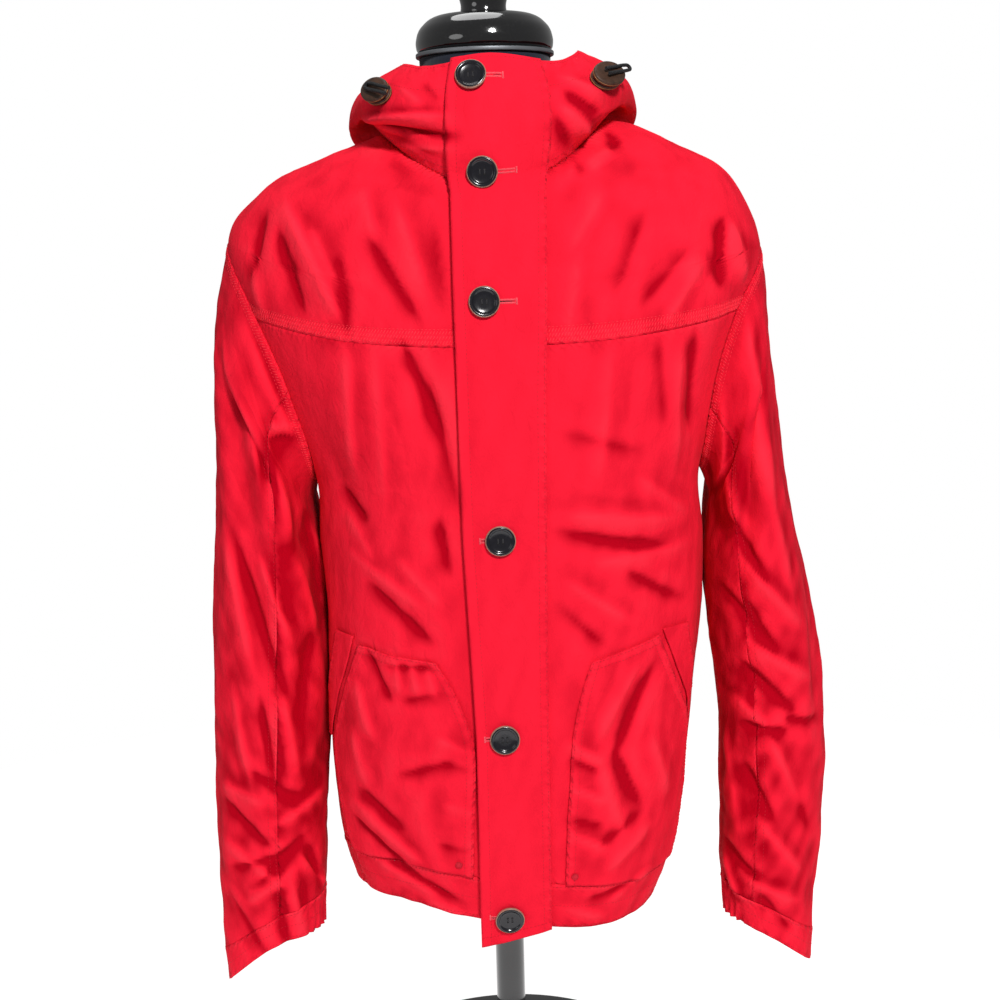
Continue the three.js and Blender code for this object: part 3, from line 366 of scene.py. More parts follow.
# Creases and soft folds seen from the front: x and z of both ends, width, height. A negative height is a valley.
FRONT_CREASES = [
    # wearer's right yoke
    (-170, 861, -128, 774, 9, 5.0), (-178, 844, -159, 777, 10, -4.5), (-192, 861, -207, 803, 9, -4.5),
    (-207, 830, -196, 772, 8, 3.0), (-100, 836, -62, 772, 8, -3.0), (-77, 864, -57, 794, 10, 2.4),
    (-150, 847, -125, 793, 8, 2.6), (-126, 818, -122, 760, 8, -2.4), (-106, 877, -96, 839, 8, 1.8),
    (-45, 842, -39, 775, 8, -1.6),
    # wearer's left yoke
    (199, 842, 196, 792, 6, -6.0), (207, 837, 219, 790, 7, 4.5), (178, 809, 147, 763, 9, 2.8),
    (165, 820, 127, 779, 9, -2.2), (94, 867, 66, 823, 9, 1.6), (128, 850, 103, 788, 10, -1.8),
    (72, 814, 63, 755, 8, 1.6),
    # wearer's right front, pocket and band
    (-74, 749, -45, 676, 10, -4.5), (-54, 715, -33, 614, 10, -5.0), (-49, 599, -42, 555, 7, -4.0),
    (-34, 735, -32, 633, 7, 2.6), (-123, 746, -122, 644, 12, 3.4), (-99, 745, -96, 618, 12, 2.2),
    (-135, 623, -114, 598, 7, -2.6), (-131, 602, -109, 566, 8, 2.2), (-110, 541, -60, 494, 10, -3.6),
    (-127, 567, -69, 526, 10, 2.4), (-85, 565, -52, 529, 9, 2.0), (-117, 482, -98, 441, 8, -4.0),
    (-127, 451, -115, 405, 8, 3.4), (-102, 470, -60, 472, 6, -2.4), (-91, 477, -89, 450, 5, 2.2),
    (-78, 474, -73, 449, 5, 2.0), (-64, 469, -58, 445, 5, 1.8), (-86, 440, -54, 449, 7, -2.0),
    (-92, 372, -46, 387, 8, -2.4), (-133, 405, -123, 359, 9, 3.0), (-127, 350, -94, 321, 8, -3.2),
    (-132, 336, -78, 290, 7, 3.4), (-138, 322, -87, 278, 7, -3.6), (-56, 408, -30, 395, 5, 1.8),
    (-53, 386, -29, 378, 5, -1.6), (-53, 347, -28, 341, 5, 1.6), (-59, 308, -31, 302, 5, -1.6),
    (-121, 284, -61, 253, 7, 2.8), (-105, 281, -43, 251, 6, -2.8), (-70, 249, -35, 234, 5, 2.4),
    # wearer's left front, pocket and band
    (173, 750, 170, 670, 11, -5.0), (160, 742, 153, 636, 12, 3.0), (140, 747, 144, 679, 10, -2.0),
    (98, 740, 88, 638, 13, 1.8), (51, 589, 140, 569, 12, -4.2), (59, 603, 152, 590, 12, 2.6),
    (87, 560, 162, 565, 11, 2.2), (112, 549, 159, 519, 9, -3.0), (57, 545, 109, 508, 8, 2.2),
    (48, 526, 86, 489, 8, -2.2), (122, 629, 164, 593, 11, 2.0), (55, 673, 122, 653, 14, -1.8),
    (133, 462, 98, 389, 10, -4.6), (117, 463, 84, 407, 10, 3.0), (98, 387, 119, 336, 9, -4.0),
    (84, 380, 103, 314, 9, 2.8), (130, 397, 144, 341, 9, 3.0), (55, 401, 84, 383, 5, 2.4),
    (56, 388, 82, 374, 5, -2.2), (55, 362, 87, 346, 5, 2.2), (53, 332, 83, 322, 5, -2.0), (53, 319, 88, 299, 5, 2.0),
    (119, 328, 83, 303, 7, -2.4), (127, 313, 91, 280, 7, 2.6), (46, 245, 82, 229, 6, 2.6),
    (73, 249, 118, 257, 6, -2.2), (91, 243, 127, 266, 5, 2.2),
    # hood
    (-112, 936, -32, 934, 5, 4.0), (-95, 928, -29, 918, 7, -9.0), (-102, 910, -29, 908, 8, 4.5),
    (-81, 901, -32, 885, 6, -3.6), (-86, 919, -40, 902, 6, -3.0), (-71, 959, -55, 946, 4, 1.6),
    (-51, 962, -38, 947, 4, -1.6), (66, 952, 96, 935, 7, -3.6), (62, 964, 95, 951, 6, 2.4),
    (63, 939, 94, 913, 7, 4.5), (98, 930, 113, 910, 6, -5.0), (58, 930, 77, 889, 7, -3.6), (86, 918, 65, 881, 7, 3.2),
    (51, 914, 60, 876, 6, 2.0), (104, 904, 86, 890, 6, 3.0),
]
# Folds that the sleeves carry on the side seen from the front
SLEEVE_CREASES = [
    # wearer's right sleeve
    (-229, 706, -195, 622, 9, -6.0), (-234, 754, -206, 639, 11, 4.5), (-213, 762, -178, 665, 9, 4.0),
    (-199, 761, -183, 700, 8, -4.0), (-199, 676, -162, 678, 6, 3.0), (-196, 665, -166, 668, 6, -3.0),
    (-176, 742, -155, 682, 7, 3.0), (-194, 638, -185, 575, 8, 3.0), (-232, 567, -197, 443, 10, -5.5),
    (-243, 577, -225, 466, 10, 4.0), (-211, 558, -190, 483, 8, 3.5), (-171, 593, -163, 520, 8, -3.0),
    (-180, 557, -170, 483, 7, 3.0), (-172, 483, -184, 408, 8, -2.6), (-218, 428, -209, 352, 10, -5.0),
    (-244, 438, -233, 352, 10, 3.4), (-198, 428, -191, 361, 8, 3.0), (-260, 328, -216, 288, 8, -3.2),
    (-261, 344, -223, 333, 7, 2.6), (-232, 362, -188, 332, 8, -2.6), (-259, 289, -211, 254, 8, 3.0),
    (-251, 267, -200, 282, 7, -2.8), (-227, 255, -190, 293, 7, -3.0), (-208, 313, -172, 331, 7, 2.6),
    (-240, 235, -201, 264, 7, 2.8), (-258, 236, -231, 185, 9, -2.4), (-191, 273, -173, 233, 5, 2.8),
    (-185, 283, -178, 234, 4, -3.0), (-202, 254, -195, 199, 5, 2.4), (-213, 245, -208, 195, 5, -2.6),
    # wearer's left sleeve
    (181, 672, 199, 571, 9, -6.5), (194, 724, 211, 582, 9, 3.6), (218, 775, 239, 617, 12, 3.4),
    (230, 653, 260, 508, 12, 2.8), (207, 582, 236, 528, 8, -3.6), (217, 545, 265, 487, 8, 3.4),
    (200, 518, 235, 471, 8, -3.0), (220, 509, 245, 462, 8, -2.6), (219, 449, 262, 407, 9, -5.0),
    (226, 468, 275, 436, 8, 3.4), (213, 416, 240, 390, 7, 2.6), (220, 393, 255, 387, 5, -3.4),
    (257, 399, 286, 393, 5, -3.0), (242, 379, 270, 316, 8, 3.6), (220, 351, 243, 304, 8, -3.6),
    (206, 378, 217, 291, 8, 2.4), (257, 348, 281, 289, 8, -2.2), (233, 300, 271, 250, 8, 2.8),
    (204, 272, 232, 241, 7, -3.0), (219, 246, 267, 220, 7, 2.4), (206, 254, 217, 222, 4, 3.0),
    (198, 250, 209, 218, 4, -3.4), (234, 227, 262, 191, 7, -2.4),
]
ROUNDED = 1.4               # how blunt the top of a crease is
SOFT_SIDE = 1.65            # how much wider a crease falls off on its soft side
STEEPER = 1.3               # folds are drawn this much higher than their table says
NARROWER = 0.66             # and this much narrower
HARD_SIDE = 0.55            # how much narrower a crease falls off on its hard side
CREASE_END = 3.2            # a crease ends this many times its reach away


def crease_height(x, z, creases):
    total = 0.0
    for x0, z0, x1, z1, width, height in creases:
        run, rise = x1 - x0, z1 - z0
        long = math.hypot(run, rise)
        share = ((x - x0) * run + (z - z0) * rise) / (long * long)
        if not -0.2 < share < 1.2:
            continue
        away = ((x - x0) * rise - (z - z0) * run) / long
        reach = NARROWER * width * (SOFT_SIDE if away > 0 else HARD_SIDE)
        if abs(away) > CREASE_END * reach:
            continue
        taper = smooth((share + 0.2) / 0.45) * smooth((1.2 - share) / 0.45)
        total += STEEPER * height * taper * math.exp(-(math.hypot(away, ROUNDED) - ROUNDED) / reach)
    return total


def crumple(p, seed=0.0, slant=0.3):
    """Soft hanging folds and small wrinkles of dry cotton at a point, in millimetres."""
    broad = noise.noise(Vector((p.x / 75, p.y / 75, p.z / 190 + seed)))
    warp = 14 * noise.noise(Vector((p.x / 60, p.y / 60, p.z / 60 + 9)))
    middle = noise.noise(Vector(((p.x + slant * p.z + warp) / 34, p.y / 34, p.z / 150 + seed + 20)))
    small = noise.noise(Vector(((p.x - slant * p.z) / 13, p.y / 13, (p.z + warp) / 46 + seed + 40)))
    tiny = noise.noise(Vector((p.x / 9, p.y / 9, p.z / 11)))
    return broad * 2.8 + middle * 2.0 + small * 0.8 + tiny * 0.25


def body_relief(p, n):
    """Height of the drape above the coat's body at a point with a normal."""
    ahead = smooth((-n.y - 0.05) / 0.4)
    behind = smooth((n.y - 0.05) / 0.4)
    calm = mix(0.55, 1.0, smooth((700 - p.z) / 300))
    height = crumple(p) * (calm * ahead + 1.15 * behind + 0.7 * (1 - ahead - behind))
    if ahead > 0:
        height += ahead * crease_height(p.x, p.z, FRONT_CREASES)
    return height


def sleeve_relief(p, n):
    ahead = smooth((-n.y - 0.05) / 0.4)
    low = smooth((560 - p.z) / 340)
    height = crumple(p, 3.0, math.copysign(0.5, p.x)) * mix(1.0, 1.5, low)
    if ahead > 0:
        height += 1.2 * ahead * crease_height(p.x, p.z, SLEEVE_CREASES)
    return height


FOLD_SHADING_HEIGHT = 4.0             # difference in height that takes the painted tone from painted shade in a valley to painted light on a ridge
PUCKER_LENGTH = 5.5         # half a wave of the puckers along a seam
PUCKER_HEIGHT = 0.36


class Cloth:
    """A piece of cloth as a grid of points on a surface; place(u, v) gives the surface for shares u and v, and an
    optional function gives painted shade that darkens its colour.
    """

    def __init__(self, name, place, size, relief, outward, welts=None, puckers=None, pitch=CLOTH_PITCH,
                 closed=False, painted_shade=None):
        welts, puckers = welts or {}, puckers or {}
        self.name = name
        self.outward = outward
        self.closed = closed
        self.columns = max(2, round(size[0] / pitch))
        self.rows = max(2, round(size[1] / pitch))
        base = [[place(i / self.columns, j / self.rows) for i in range(self.columns + 1)]
                for j in range(self.rows + 1)]
        self.across = [self.lengths(row) for row in base]
        upright = [self.lengths(column) for column in zip(*base)]
        self.up = [list(row) for row in zip(*upright)]
        self.normals = self.grid_normals(base)
        self.points, self.masks, heights = [], [], []
        for j, row in enumerate(base):
            line, mask, rise = [], [], []
            for i, p in enumerate(row):
                edges = self.edge_distances(i, j)
                n = self.normals[j][i]
                height = relief(p, n) + self.edge_relief(edges, welts, puckers)
                line.append(p + n * height)
                rise.append(height)
                mask.append(max([math.exp(-edges[e][0] / d) for e, d in puckers.items()], default=0.0))
            self.points.append(line)
            self.masks.append(mask)
            if closed:
                line[0] = line[-1] = (line[0] + line[-1]) / 2
            heights.append(rise)
        # Painted light and shade of the folds: a point below the average of its neighbours gets painted valley shade,
        # a point above it gets painted ridge light
        around = self.blurred(heights)
        # Painted shade from the optional function is taken off the painted fold shading, so it darkens the colour
        painted_shades = [[painted_shade(i / self.columns, j / self.rows) if painted_shade else 0.0 for i in range(self.columns + 1)]
                  for j in range(self.rows + 1)]
        self.painted_fold_shading_grid = [[clamp(0.5 + (h - a) / FOLD_SHADING_HEIGHT - d) for h, a, d in zip(*rows)]
                      for rows in zip(heights, around, painted_shades)]
        self.normals = self.grid_normals(self.points)

    @staticmethod
    def blurred(grid, reach=5):
        """Average of each point's neighbours, first across and then up."""
        for _ in range(2):
            rows = []
            for line in grid:
                sums = [0.0]
                for value in line:
                    sums.append(sums[-1] + value)
                spans = [(max(i - reach, 0), min(i + reach + 1, len(line))) for i in range(len(line))]
                rows.append([(sums[b] - sums[a]) / (b - a) for a, b in spans])
            grid = list(zip(*rows))
        return grid

    @staticmethod
    def lengths(line):
        total, out = 0.0, [0.0]
        for a, b in zip(line, line[1:]):
            total += (b - a).length
            out.append(total)
        return out

    def grid_normals(self, grid):
        out = []
        for j in range(self.rows + 1):
            low, high = grid[max(j - 1, 0)], grid[min(j + 1, self.rows)]
            line = []
            for i in range(self.columns + 1):
                before, after = max(i - 1, 0), min(i + 1, self.columns)
                if self.closed and i in (0, self.columns):
                    before, after = self.columns - 1, 1
                along = grid[j][after] - grid[j][before]
                line.append(along.cross(high[i] - low[i]).normalized() * self.outward)
            out.append(line)
        return out

    def edge_distances(self, i, j):
        """Distance from each edge, and the length along it, in millimetres."""
        across, up = self.across[j], self.up
        return {
            "first": (across[i], up[j][0]), "last": (across[-1] - across[i], up[j][-1]),
            "bottom": (up[j][i], across[i]), "top": (up[-1][i] - up[j][i], across[i]),
        }

    @staticmethod
    def edge_relief(edges, welts, puckers):
        height = 0.0
        for edge, (width, rise) in welts.items():
            away = edges[edge][0]
            height += rise * (1 - smooth((away - width + 1.5) / 3.0)) - 0.5 * rise * (1 - smooth(away / 2.0))
        for edge, reach in puckers.items():
            away, along = edges[edge]
            phase = along / PUCKER_LENGTH + 1.8 * noise.noise(Vector((along / 30, away / 60, 1.7)))
            height += PUCKER_HEIGHT * math.sin(phase * math.tau / 2) * math.exp(-away / reach) * smooth(away / 3.0)
        return height

    def at(self, u, v):
        """Point and normal at shares of the grid."""
        x, y = clamp(u) * self.columns, clamp(v) * self.rows
        i, j = min(int(x), self.columns - 1), min(int(y), self.rows - 1)
        fx, fy = x - i, y - j
        low = self.points[j][i].lerp(self.points[j][i + 1], fx)
        high = self.points[j + 1][i].lerp(self.points[j + 1][i + 1], fx)
        return low.lerp(high, fy), self.normals[j][i]

    def beside(self, edge, away):
        """Line at a distance inside an edge, as points with normals."""
        count = self.rows if edge in ("first", "last") else self.columns
        out = []
        for k in range(count + 1):
            share = k / count
            line = self.across[k] if edge in ("first", "last") else [row[k] for row in self.up]
            target = away if edge in ("first", "bottom") else line[-1] - away
            i = 0
            while i < len(line) - 2 and line[i + 1] < target:
                i += 1
            cross = (i + clamp((target - line[i]) / max(line[i + 1] - line[i], 1e-6))) / (len(line) - 1)
            out.append(self.at(cross, share) if edge in ("first", "last") else self.at(share, cross))
        return out

    def build(self, material, thick=CLOTH):
        """Mesh object: a grid shaped to the points, with its lengths as UV, and its puckers and its painted fold
        shading as attributes.
        """
        bm = bmesh.new()
        bmesh.ops.create_grid(bm, x_segments=self.columns, y_segments=self.rows, size=0.5)
        uv = bm.loops.layers.uv.new("lengths")
        pucker, painted_fold_shading = bm.verts.layers.float.new("pucker"), bm.verts.layers.float.new("painted_fold_shading")
        for v in bm.verts:
            i, j = round((v.co.x + 0.5) * self.columns), round((v.co.y + 0.5) * self.rows)
            v.index = j * (self.columns + 1) + i
            v.co = self.points[j][i] * MM
            v[pucker], v[painted_fold_shading] = self.masks[j][i], self.painted_fold_shading_grid[j][i]
        for face in bm.faces:
            face.smooth = True
            for loop in face.loops:
                j, i = divmod(loop.vert.index, self.columns + 1)
                loop[uv].uv = (self.across[j][i] * MM, self.up[j][i] * MM)
        if self.closed:
            bmesh.ops.remove_doubles(bm, verts=bm.verts, dist=1e-6)
        if self.outward < 0:
            bmesh.ops.reverse_faces(bm, faces=bm.faces)
        obj = new_object(self.name, bm, material)
        wall = obj.modifiers.new("wall", "SOLIDIFY")
        wall.thickness = thick * MM
        wall.offset = -1
        return obj

    def flat_size(self):
        """Width, length and area of the piece laid flat, in metres."""
        width = max(row[-1] for row in self.across)
        length = max(self.up[-1])
        area = 0.0
        for j in range(self.rows):
            for i in range(self.columns):
                area += (self.across[j][i + 1] - self.across[j][i]) * (self.up[j + 1][i] - self.up[j][i])
        return width * MM, length * MM, area * MM * MM


def placed(name, data):
    obj = bpy.data.objects.new(name, data)
    bpy.context.scene.collection.objects.link(obj)
    return obj


def new_object(name, bm, material):
    mesh = bpy.data.meshes.new(name)
    bm.to_mesh(mesh)
    bm.free()
    mesh.materials.append(material)
    return placed(name, mesh)


def smoothed(bm):
    for face in bm.faces:
        face.smooth = True
    return bm


# Shader building: one class wraps a socket, so that shader maths reads as maths
class Value:
    def __init__(self, shader, socket):
        self.shader, self.socket = shader, socket

    def maths(self, operation, other, flip=False, **more):
        values = {0: other, 1: self} if flip else {0: self, 1: other}
        return self.shader.node("ShaderNodeMath", {"operation": operation, **more}, values)

    def __add__(self, other):
        return self.maths("ADD", other)

    def __sub__(self, other):
        return self.maths("SUBTRACT", other)

    def __mul__(self, other):
        return self.maths("MULTIPLY", other)

    def __radd__(self, other):
        return self.maths("ADD", other, flip=True)

    def __rsub__(self, other):
        return self.maths("SUBTRACT", other, flip=True)

    def clamped(self):
        return self.maths("MULTIPLY", 1.0, use_clamp=True)


class Shader:
    """A material and the nodes added to it."""

    def __init__(self, name, **constants):
        self.material = bpy.data.materials.new(name)
        self.material.use_nodes = True
        self.tree = self.material.node_tree
        self.surface = self.tree.nodes["Principled BSDF"]
        for socket, value in constants.items():
            self.surface.inputs[socket.replace("_", " ")].default_value = value

    def node(self, kind, settings=None, values=None, output=0):
        """Adds a node: its settings are set first, then the values or links of its sockets."""
        node = self.tree.nodes.new(kind)
        for key, value in (settings or {}).items():
            setattr(node, key, value)
        for key, value in (values or {}).items():
            if isinstance(value, Value):
                self.tree.links.new(value.socket, node.inputs[key])
            else:
                node.inputs[key].default_value = value
        return Value(self, node.outputs[output])

    def coordinates(self, kind):
        return self.node("ShaderNodeTexCoord", output={"Object": 3, "UV": 2}[kind])

    def scaled(self, vector, by):
        return self.node("ShaderNodeVectorMath", {"operation": "MULTIPLY"}, {0: vector, 1: by})

    def noise(self, vector, scale, detail=3.0, roughness=0.55, distortion=0.0):
        values = {"Vector": vector, "Scale": scale, "Detail": detail, "Roughness": roughness, "Distortion": distortion}
        return self.node("ShaderNodeTexNoise", {}, values)

    def attribute(self, name):
        return self.node("ShaderNodeAttribute", {"attribute_name": name}, output=2)

    def blend(self, share, low, high):
        """Colour between two colours by a share."""
        return self.node("ShaderNodeMix", {"data_type": "RGBA"}, {0: share, 6: low, 7: high}, output=2)

    def bump(self, height, distance, strength=1.0, under=None):
        values = {"Height": height, "Distance": distance, "Strength": strength}
        if under is not None:
            values["Normal"] = under
        return self.node("ShaderNodeBump", {}, values)

    def wear(self, **sockets):
        for socket, value in sockets.items():
            self.tree.links.new(value.socket, self.surface.inputs[socket.replace("_", " ")])
        return self.material


RED = (0.86, 0.0145, 0.038, 1)
RED_DEEP = (0.77, 0.0095, 0.029, 1)
# Painted shade for the valleys of folds, and painted light for their ridges
RED_PAINTED_VALLEY_SHADE = (0.40, 0.0005, 0.009, 1)
RED_PAINTED_RIDGE_LIGHT = (0.88, 0.027, 0.052, 1)


def coat_cotton():
    """Dense dry cotton: fine weave, mottled dye, small crumples, oblique puckers beside the seams; painted shade in
    the valleys of its folds and painted light on their ridges and on the puckers' crests.
    """
    s = Shader("coat_cotton", Specular_IOR_Level=0.02, Sheen_Weight=0.008, Sheen_Roughness=0.45)
    lengths = s.coordinates("UV")
    place = s.coordinates("Object")
    mottle = s.noise(place, 26.0, 4.0, 0.6)
    cloudy = s.noise(place, 7.0, 2.0)
    grain = s.noise(lengths, 1500.0, 2.0)
    slub = s.noise(s.scaled(lengths, (900.0, 120.0, 1.0)), 1.0, 2.0)
    crumples = s.noise(s.scaled(place, (95.0, 95.0, 60.0)), 1.0, 4.0, 0.62, 0.6)
    seam = s.attribute("pucker")
    slant = s.scaled(lengths, (1.0, 1.0, 0.0))
    wave = {"Vector": slant, "Scale": 62.0, "Distortion": 5.0, "Detail": 2.0, "Detail Scale": 1.6}
    puckers = s.node("ShaderNodeTexWave", {"wave_type": "BANDS", "bands_direction": "DIAGONAL"}, wave, output=1)
    tone = (mottle * 0.55 + cloudy * 0.45 + slub * 0.16 - 0.18).clamped()
    colour = s.blend(tone, RED_DEEP, RED)
    painted_fold_shading = s.attribute("painted_fold_shading")
    # Painted shade: deep red in the valleys of the folds
    colour = s.blend(((0.5 - painted_fold_shading) * 2.2 + 0.06).clamped(), colour, RED_PAINTED_VALLEY_SHADE)
    # Painted light: paler red on fold ridges and on the crests of the seam puckers
    colour = s.blend(((painted_fold_shading - 0.55) * 1.6 + seam * 0.3 * puckers).clamped(), colour, RED_PAINTED_RIDGE_LIGHT)
    folded = s.bump(crumples, 0.0022, 0.8)
    sewn = s.bump(puckers * seam, 0.0011, 0.8, folded)
    woven = s.bump(grain * 0.6 + slub * 0.4, 0.00022, 0.5, sewn)
    return s.wear(Base_Color=colour, Roughness=0.70 + mottle * 0.14, Normal=woven)


# Materials that differ only in these: specular, noise scale and detail, two colours, change of roughness, roughness
PLAIN = {
    "seam_thread": (0.2, 900.0, 2.0, (0.36, 0.002, 0.012, 1), (0.66, 0.014, 0.034, 1), 0.2, 0.5),
    "band_thread": (0.2, 900.0, 2.0, (0.80, 0.02, 0.04, 1), (0.92, 0.05, 0.075, 1), 0.2, 0.5),
    "buttonhole_thread": (0.4, 700.0, 2.0, (0.66, 0.03, 0.06, 1), (0.90, 0.14, 0.17, 1), 0.2, 0.45),
    "button_thread": (0.3, 900.0, 2.0, (0.02, 0.02, 0.023, 1), (0.07, 0.065, 0.07, 1), 0.2, 0.5),
    # Painted shade: dark discs in the buttons' holes and dark slits in the buttonholes
    "hole_painted_shade": (0.2, 600.0, 3.0, (0.003, 0.003, 0.003, 1), (0.012, 0.010, 0.010, 1), 0.1, 0.7),
    "horn_rim": (0.5, 240.0, 3.0, (0.15, 0.065, 0.042, 1), (0.42, 0.23, 0.17, 1), 0.2, 0.25),
    "lock_edge": (0.3, 620.0, 3.0, (0.20, 0.10, 0.032, 1), (0.38, 0.22, 0.085, 1), 0.2, 0.6),
    "studio_paper": (0.0, 3.0, 2.0, (0.30, 0.30, 0.30, 1), (0.33, 0.33, 0.33, 1), 0.1, 0.85),
}


def plain(name, **constants):
    """Material of two close colours mottled by noise, which also changes its roughness."""
    specular, scale, detail, low, high, change, roughness = PLAIN[name]
    s = Shader(name, Specular_IOR_Level=specular, **constants)
    mottle = s.noise(s.coordinates("Object"), scale, detail)
    return s.wear(Base_Color=s.blend(mottle, low, high), Roughness=mottle * change + roughness)


def button_horn():
    """Polished dark plastic with faint smoky marbling."""
    s = Shader("button_horn", Specular_IOR_Level=0.5, Coat_Roughness=0.06)
    place = s.coordinates("Object")
    smoke = s.noise(place, 130.0, 4.0, 0.6, 1.2)
    scratches = s.noise(s.scaled(place, (900.0, 900.0, 160.0)), 1.0, 3.0)
    colour = s.blend(smoke, (0.002, 0.002, 0.004, 1), (0.007, 0.006, 0.010, 1))
    coat = (smoke * 0.2 + 0.1).clamped()
    return s.wear(Base_Color=colour, Roughness=scratches * 0.16 + 0.14, Coat_Weight=coat,
                  Normal=s.bump(scratches, 0.00004, 0.4))


def lock_leather():
    """Brown leather, pebbled and rubbed lighter in patches."""
    s = Shader("lock_leather", Specular_IOR_Level=0.45)
    place = s.coordinates("Object")
    pebbles = s.node("ShaderNodeTexVoronoi", {"feature": "DISTANCE_TO_EDGE"}, {"Vector": place, "Scale": 720.0})
    rubbed = s.noise(place, 150.0, 4.0, 0.65)
    colour = s.blend((rubbed * 1.6 - 0.35).clamped(), (0.020, 0.009, 0.005, 1), (0.080, 0.032, 0.015, 1))
    return s.wear(Base_Color=colour, Roughness=rubbed * 0.25 + 0.38, Normal=s.bump(pebbles, 0.0003, 0.6))


def elastic_cord():
    """Braided black elastic."""
    s = Shader("elastic_cord", Specular_IOR_Level=0.35)
    lengths = s.coordinates("UV")
    braid = s.node("ShaderNodeTexWave", {"wave_type": "BANDS", "bands_direction": "DIAGONAL"},
                   {"Vector": s.scaled(lengths, (700.0, 1000.0, 0.0)), "Scale": 1.0}, output=1)
    colour = s.blend(braid, (0.004, 0.004, 0.005, 1), (0.022, 0.022, 0.024, 1))
    return s.wear(Base_Color=colour, Roughness=braid * 0.2 + 0.6, Normal=s.bump(braid, 0.0003, 0.7))


def form_jersey():
    """Dark navy stretch jersey over the form."""
    s = Shader("form_jersey", Specular_IOR_Level=0.2, Sheen_Weight=0.25, Sheen_Roughness=0.5)
    place = s.coordinates("Object")
    ribs = s.node("ShaderNodeTexWave", {"wave_type": "BANDS", "bands_direction": "X"},
                  {"Vector": place, "Scale": 260.0}, output=1)
    fuzz = s.noise(place, 420.0, 3.0)
    colour = s.blend((ribs * 0.4 + fuzz * 0.6).clamped(), (0.004, 0.006, 0.014, 1), (0.014, 0.019, 0.036, 1))
    return s.wear(Base_Color=colour, Roughness=fuzz * 0.15 + 0.8, Normal=s.bump(ribs * 0.5 + fuzz, 0.0003, 0.5))


def black_lacquer():
    """Turned wood under black gloss lacquer, with faint dust and ripples."""
    s = Shader("black_lacquer", Specular_IOR_Level=0.55, Coat_Roughness=0.03)
    place = s.coordinates("Object")
    ripples = s.noise(place, 30.0, 2.0)
    dust = s.noise(place, 500.0, 2.0)
    colour = s.blend((dust * 1.5 - 0.8).clamped(), (0.0035, 0.0035, 0.004, 1), (0.02, 0.02, 0.02, 1))
    return s.wear(Base_Color=colour, Roughness=dust * 0.08 + 0.06, Coat_Weight=(ripples * 0.2 + 0.8).clamped(),
                  Normal=s.bump(ripples, 0.0004, 0.25))


def rim_metal():
    """Dull grey trim ring below the cap."""
    s = Shader("rim_metal", Specular_IOR_Level=0.5)
    brushed = s.noise(s.scaled(s.coordinates("Object"), (60.0, 60.0, 1800.0)), 1.0, 3.0)
    colour = s.blend(brushed, (0.10, 0.11, 0.12, 1), (0.24, 0.25, 0.27, 1))
    return s.wear(Base_Color=colour, Roughness=brushed * 0.2 + 0.35, Metallic=(brushed * 0.1 + 0.5).clamped())


# The coat's cloth: every piece is a grid on the coat's own surfaces
SEAM_REACH = 24.0           # how far from a shaped seam the drape is held down


def shaped_seams():
    """Points along both armholes and the neck seam, where pieces of different drape are joined."""
    turns = spread(0, 360, 720)
    points = [body_point(armhole_angle(side, t), armhole_row(t)) for side in (-1, 1) for t in turns]
    points += [body_point(t, NECK_ROW) for t in turns]
    tree = KDTree(len(points))
    for i, p in enumerate(points):
        tree.insert(p, i)
    tree.balance()
    return tree


SEAMS = shaped_seams()


def held_down(p):
    return smooth(SEAMS.find(p)[2] / SEAM_REACH)


def placket_calm(p):
    """The layers under the storm flap keep the front flatter there."""
    return mix(0.42, 1.0, smooth((abs(p.x - 9) - 38) / 34)) if p.y < 0 else 1.0


def coat_relief(p, n):
    return body_relief(p, n) * held_down(p) * placket_calm(p)


def arm_relief(p, n):
    return sleeve_relief(p, n) * held_down(p)


def coat_row(low_row, high_row, v):
    return row_at(mix(section(low_row)[FRONT_Z], section(high_row)[FRONT_Z], v))


def front_cloth(name, side, low_row, high_row, width, length, **seams):
    def place(u, v):
        row = coat_row(low_row, high_row, v)
        return body_point(side * u * side_edge(row, ARMHOLE_FRONT), row)
    return Cloth(name, place, (width, length), coat_relief, side, **seams)


def back_cloth(name, low_row, high_row, width, length, **seams):
    def place(u, v):
        row = coat_row(low_row, high_row, v)
        edge = side_edge(row, ARMHOLE_BACK)
        return body_point(mix(edge, 360 - edge, u), row)
    return Cloth(name, place, (width, length), coat_relief, 1, **seams)


SLEEVE_PAINTED_SHADE = 0.2         # how much painted shade darkens the sleeve's side next to the body


def sleeve_cloth(name, side, start, end, width, **seams):
    def place(u, v):
        return sleeve_point(side, mix(start, end, u), mix(0, CUFF_ROW, v))

    # Painted shade: a little over the whole sleeve, and more on its side next to the body
    def painted_shade(u, v):
        turn = mix(start, end, u)
        return 0.09 + SLEEVE_PAINTED_SHADE * smooth((turn - 84) / 30) * smooth((225 - turn) / 40) * smooth(v / 0.12)
    return Cloth(name, place, (width, 650), arm_relief, side, painted_shade=painted_shade, **seams)


CUFF_GATHERS = (128, 232, 9, 2.2)     # degrees from and to, waves, depth


def cuff_cloth(name, side, **seams):
    """Cuff, joined to itself at the underarm, with elastic gathers on its inner part."""
    start, end, waves, depth = CUFF_GATHERS

    def place(u, v):
        turn = mix(-118, 242, u)
        share = ((turn % 360) - start) / (end - start)
        wave = 0.0
        if 0 < share < 1:
            wave = (depth * math.sin(share * waves * math.tau) * mix(0.35, 1, v)
                    * smooth(share * 8) * smooth((1 - share) * 8))
        s, c = sine_cosine(turn)
        return sleeve_point(side, turn, mix(CUFF_ROW, SLEEVE_END, v)) + Vector((side * c, -s, 0)) * wave
    return Cloth(name, place, (250, 38), arm_relief, side, pitch=2.4, closed=True, **seams)


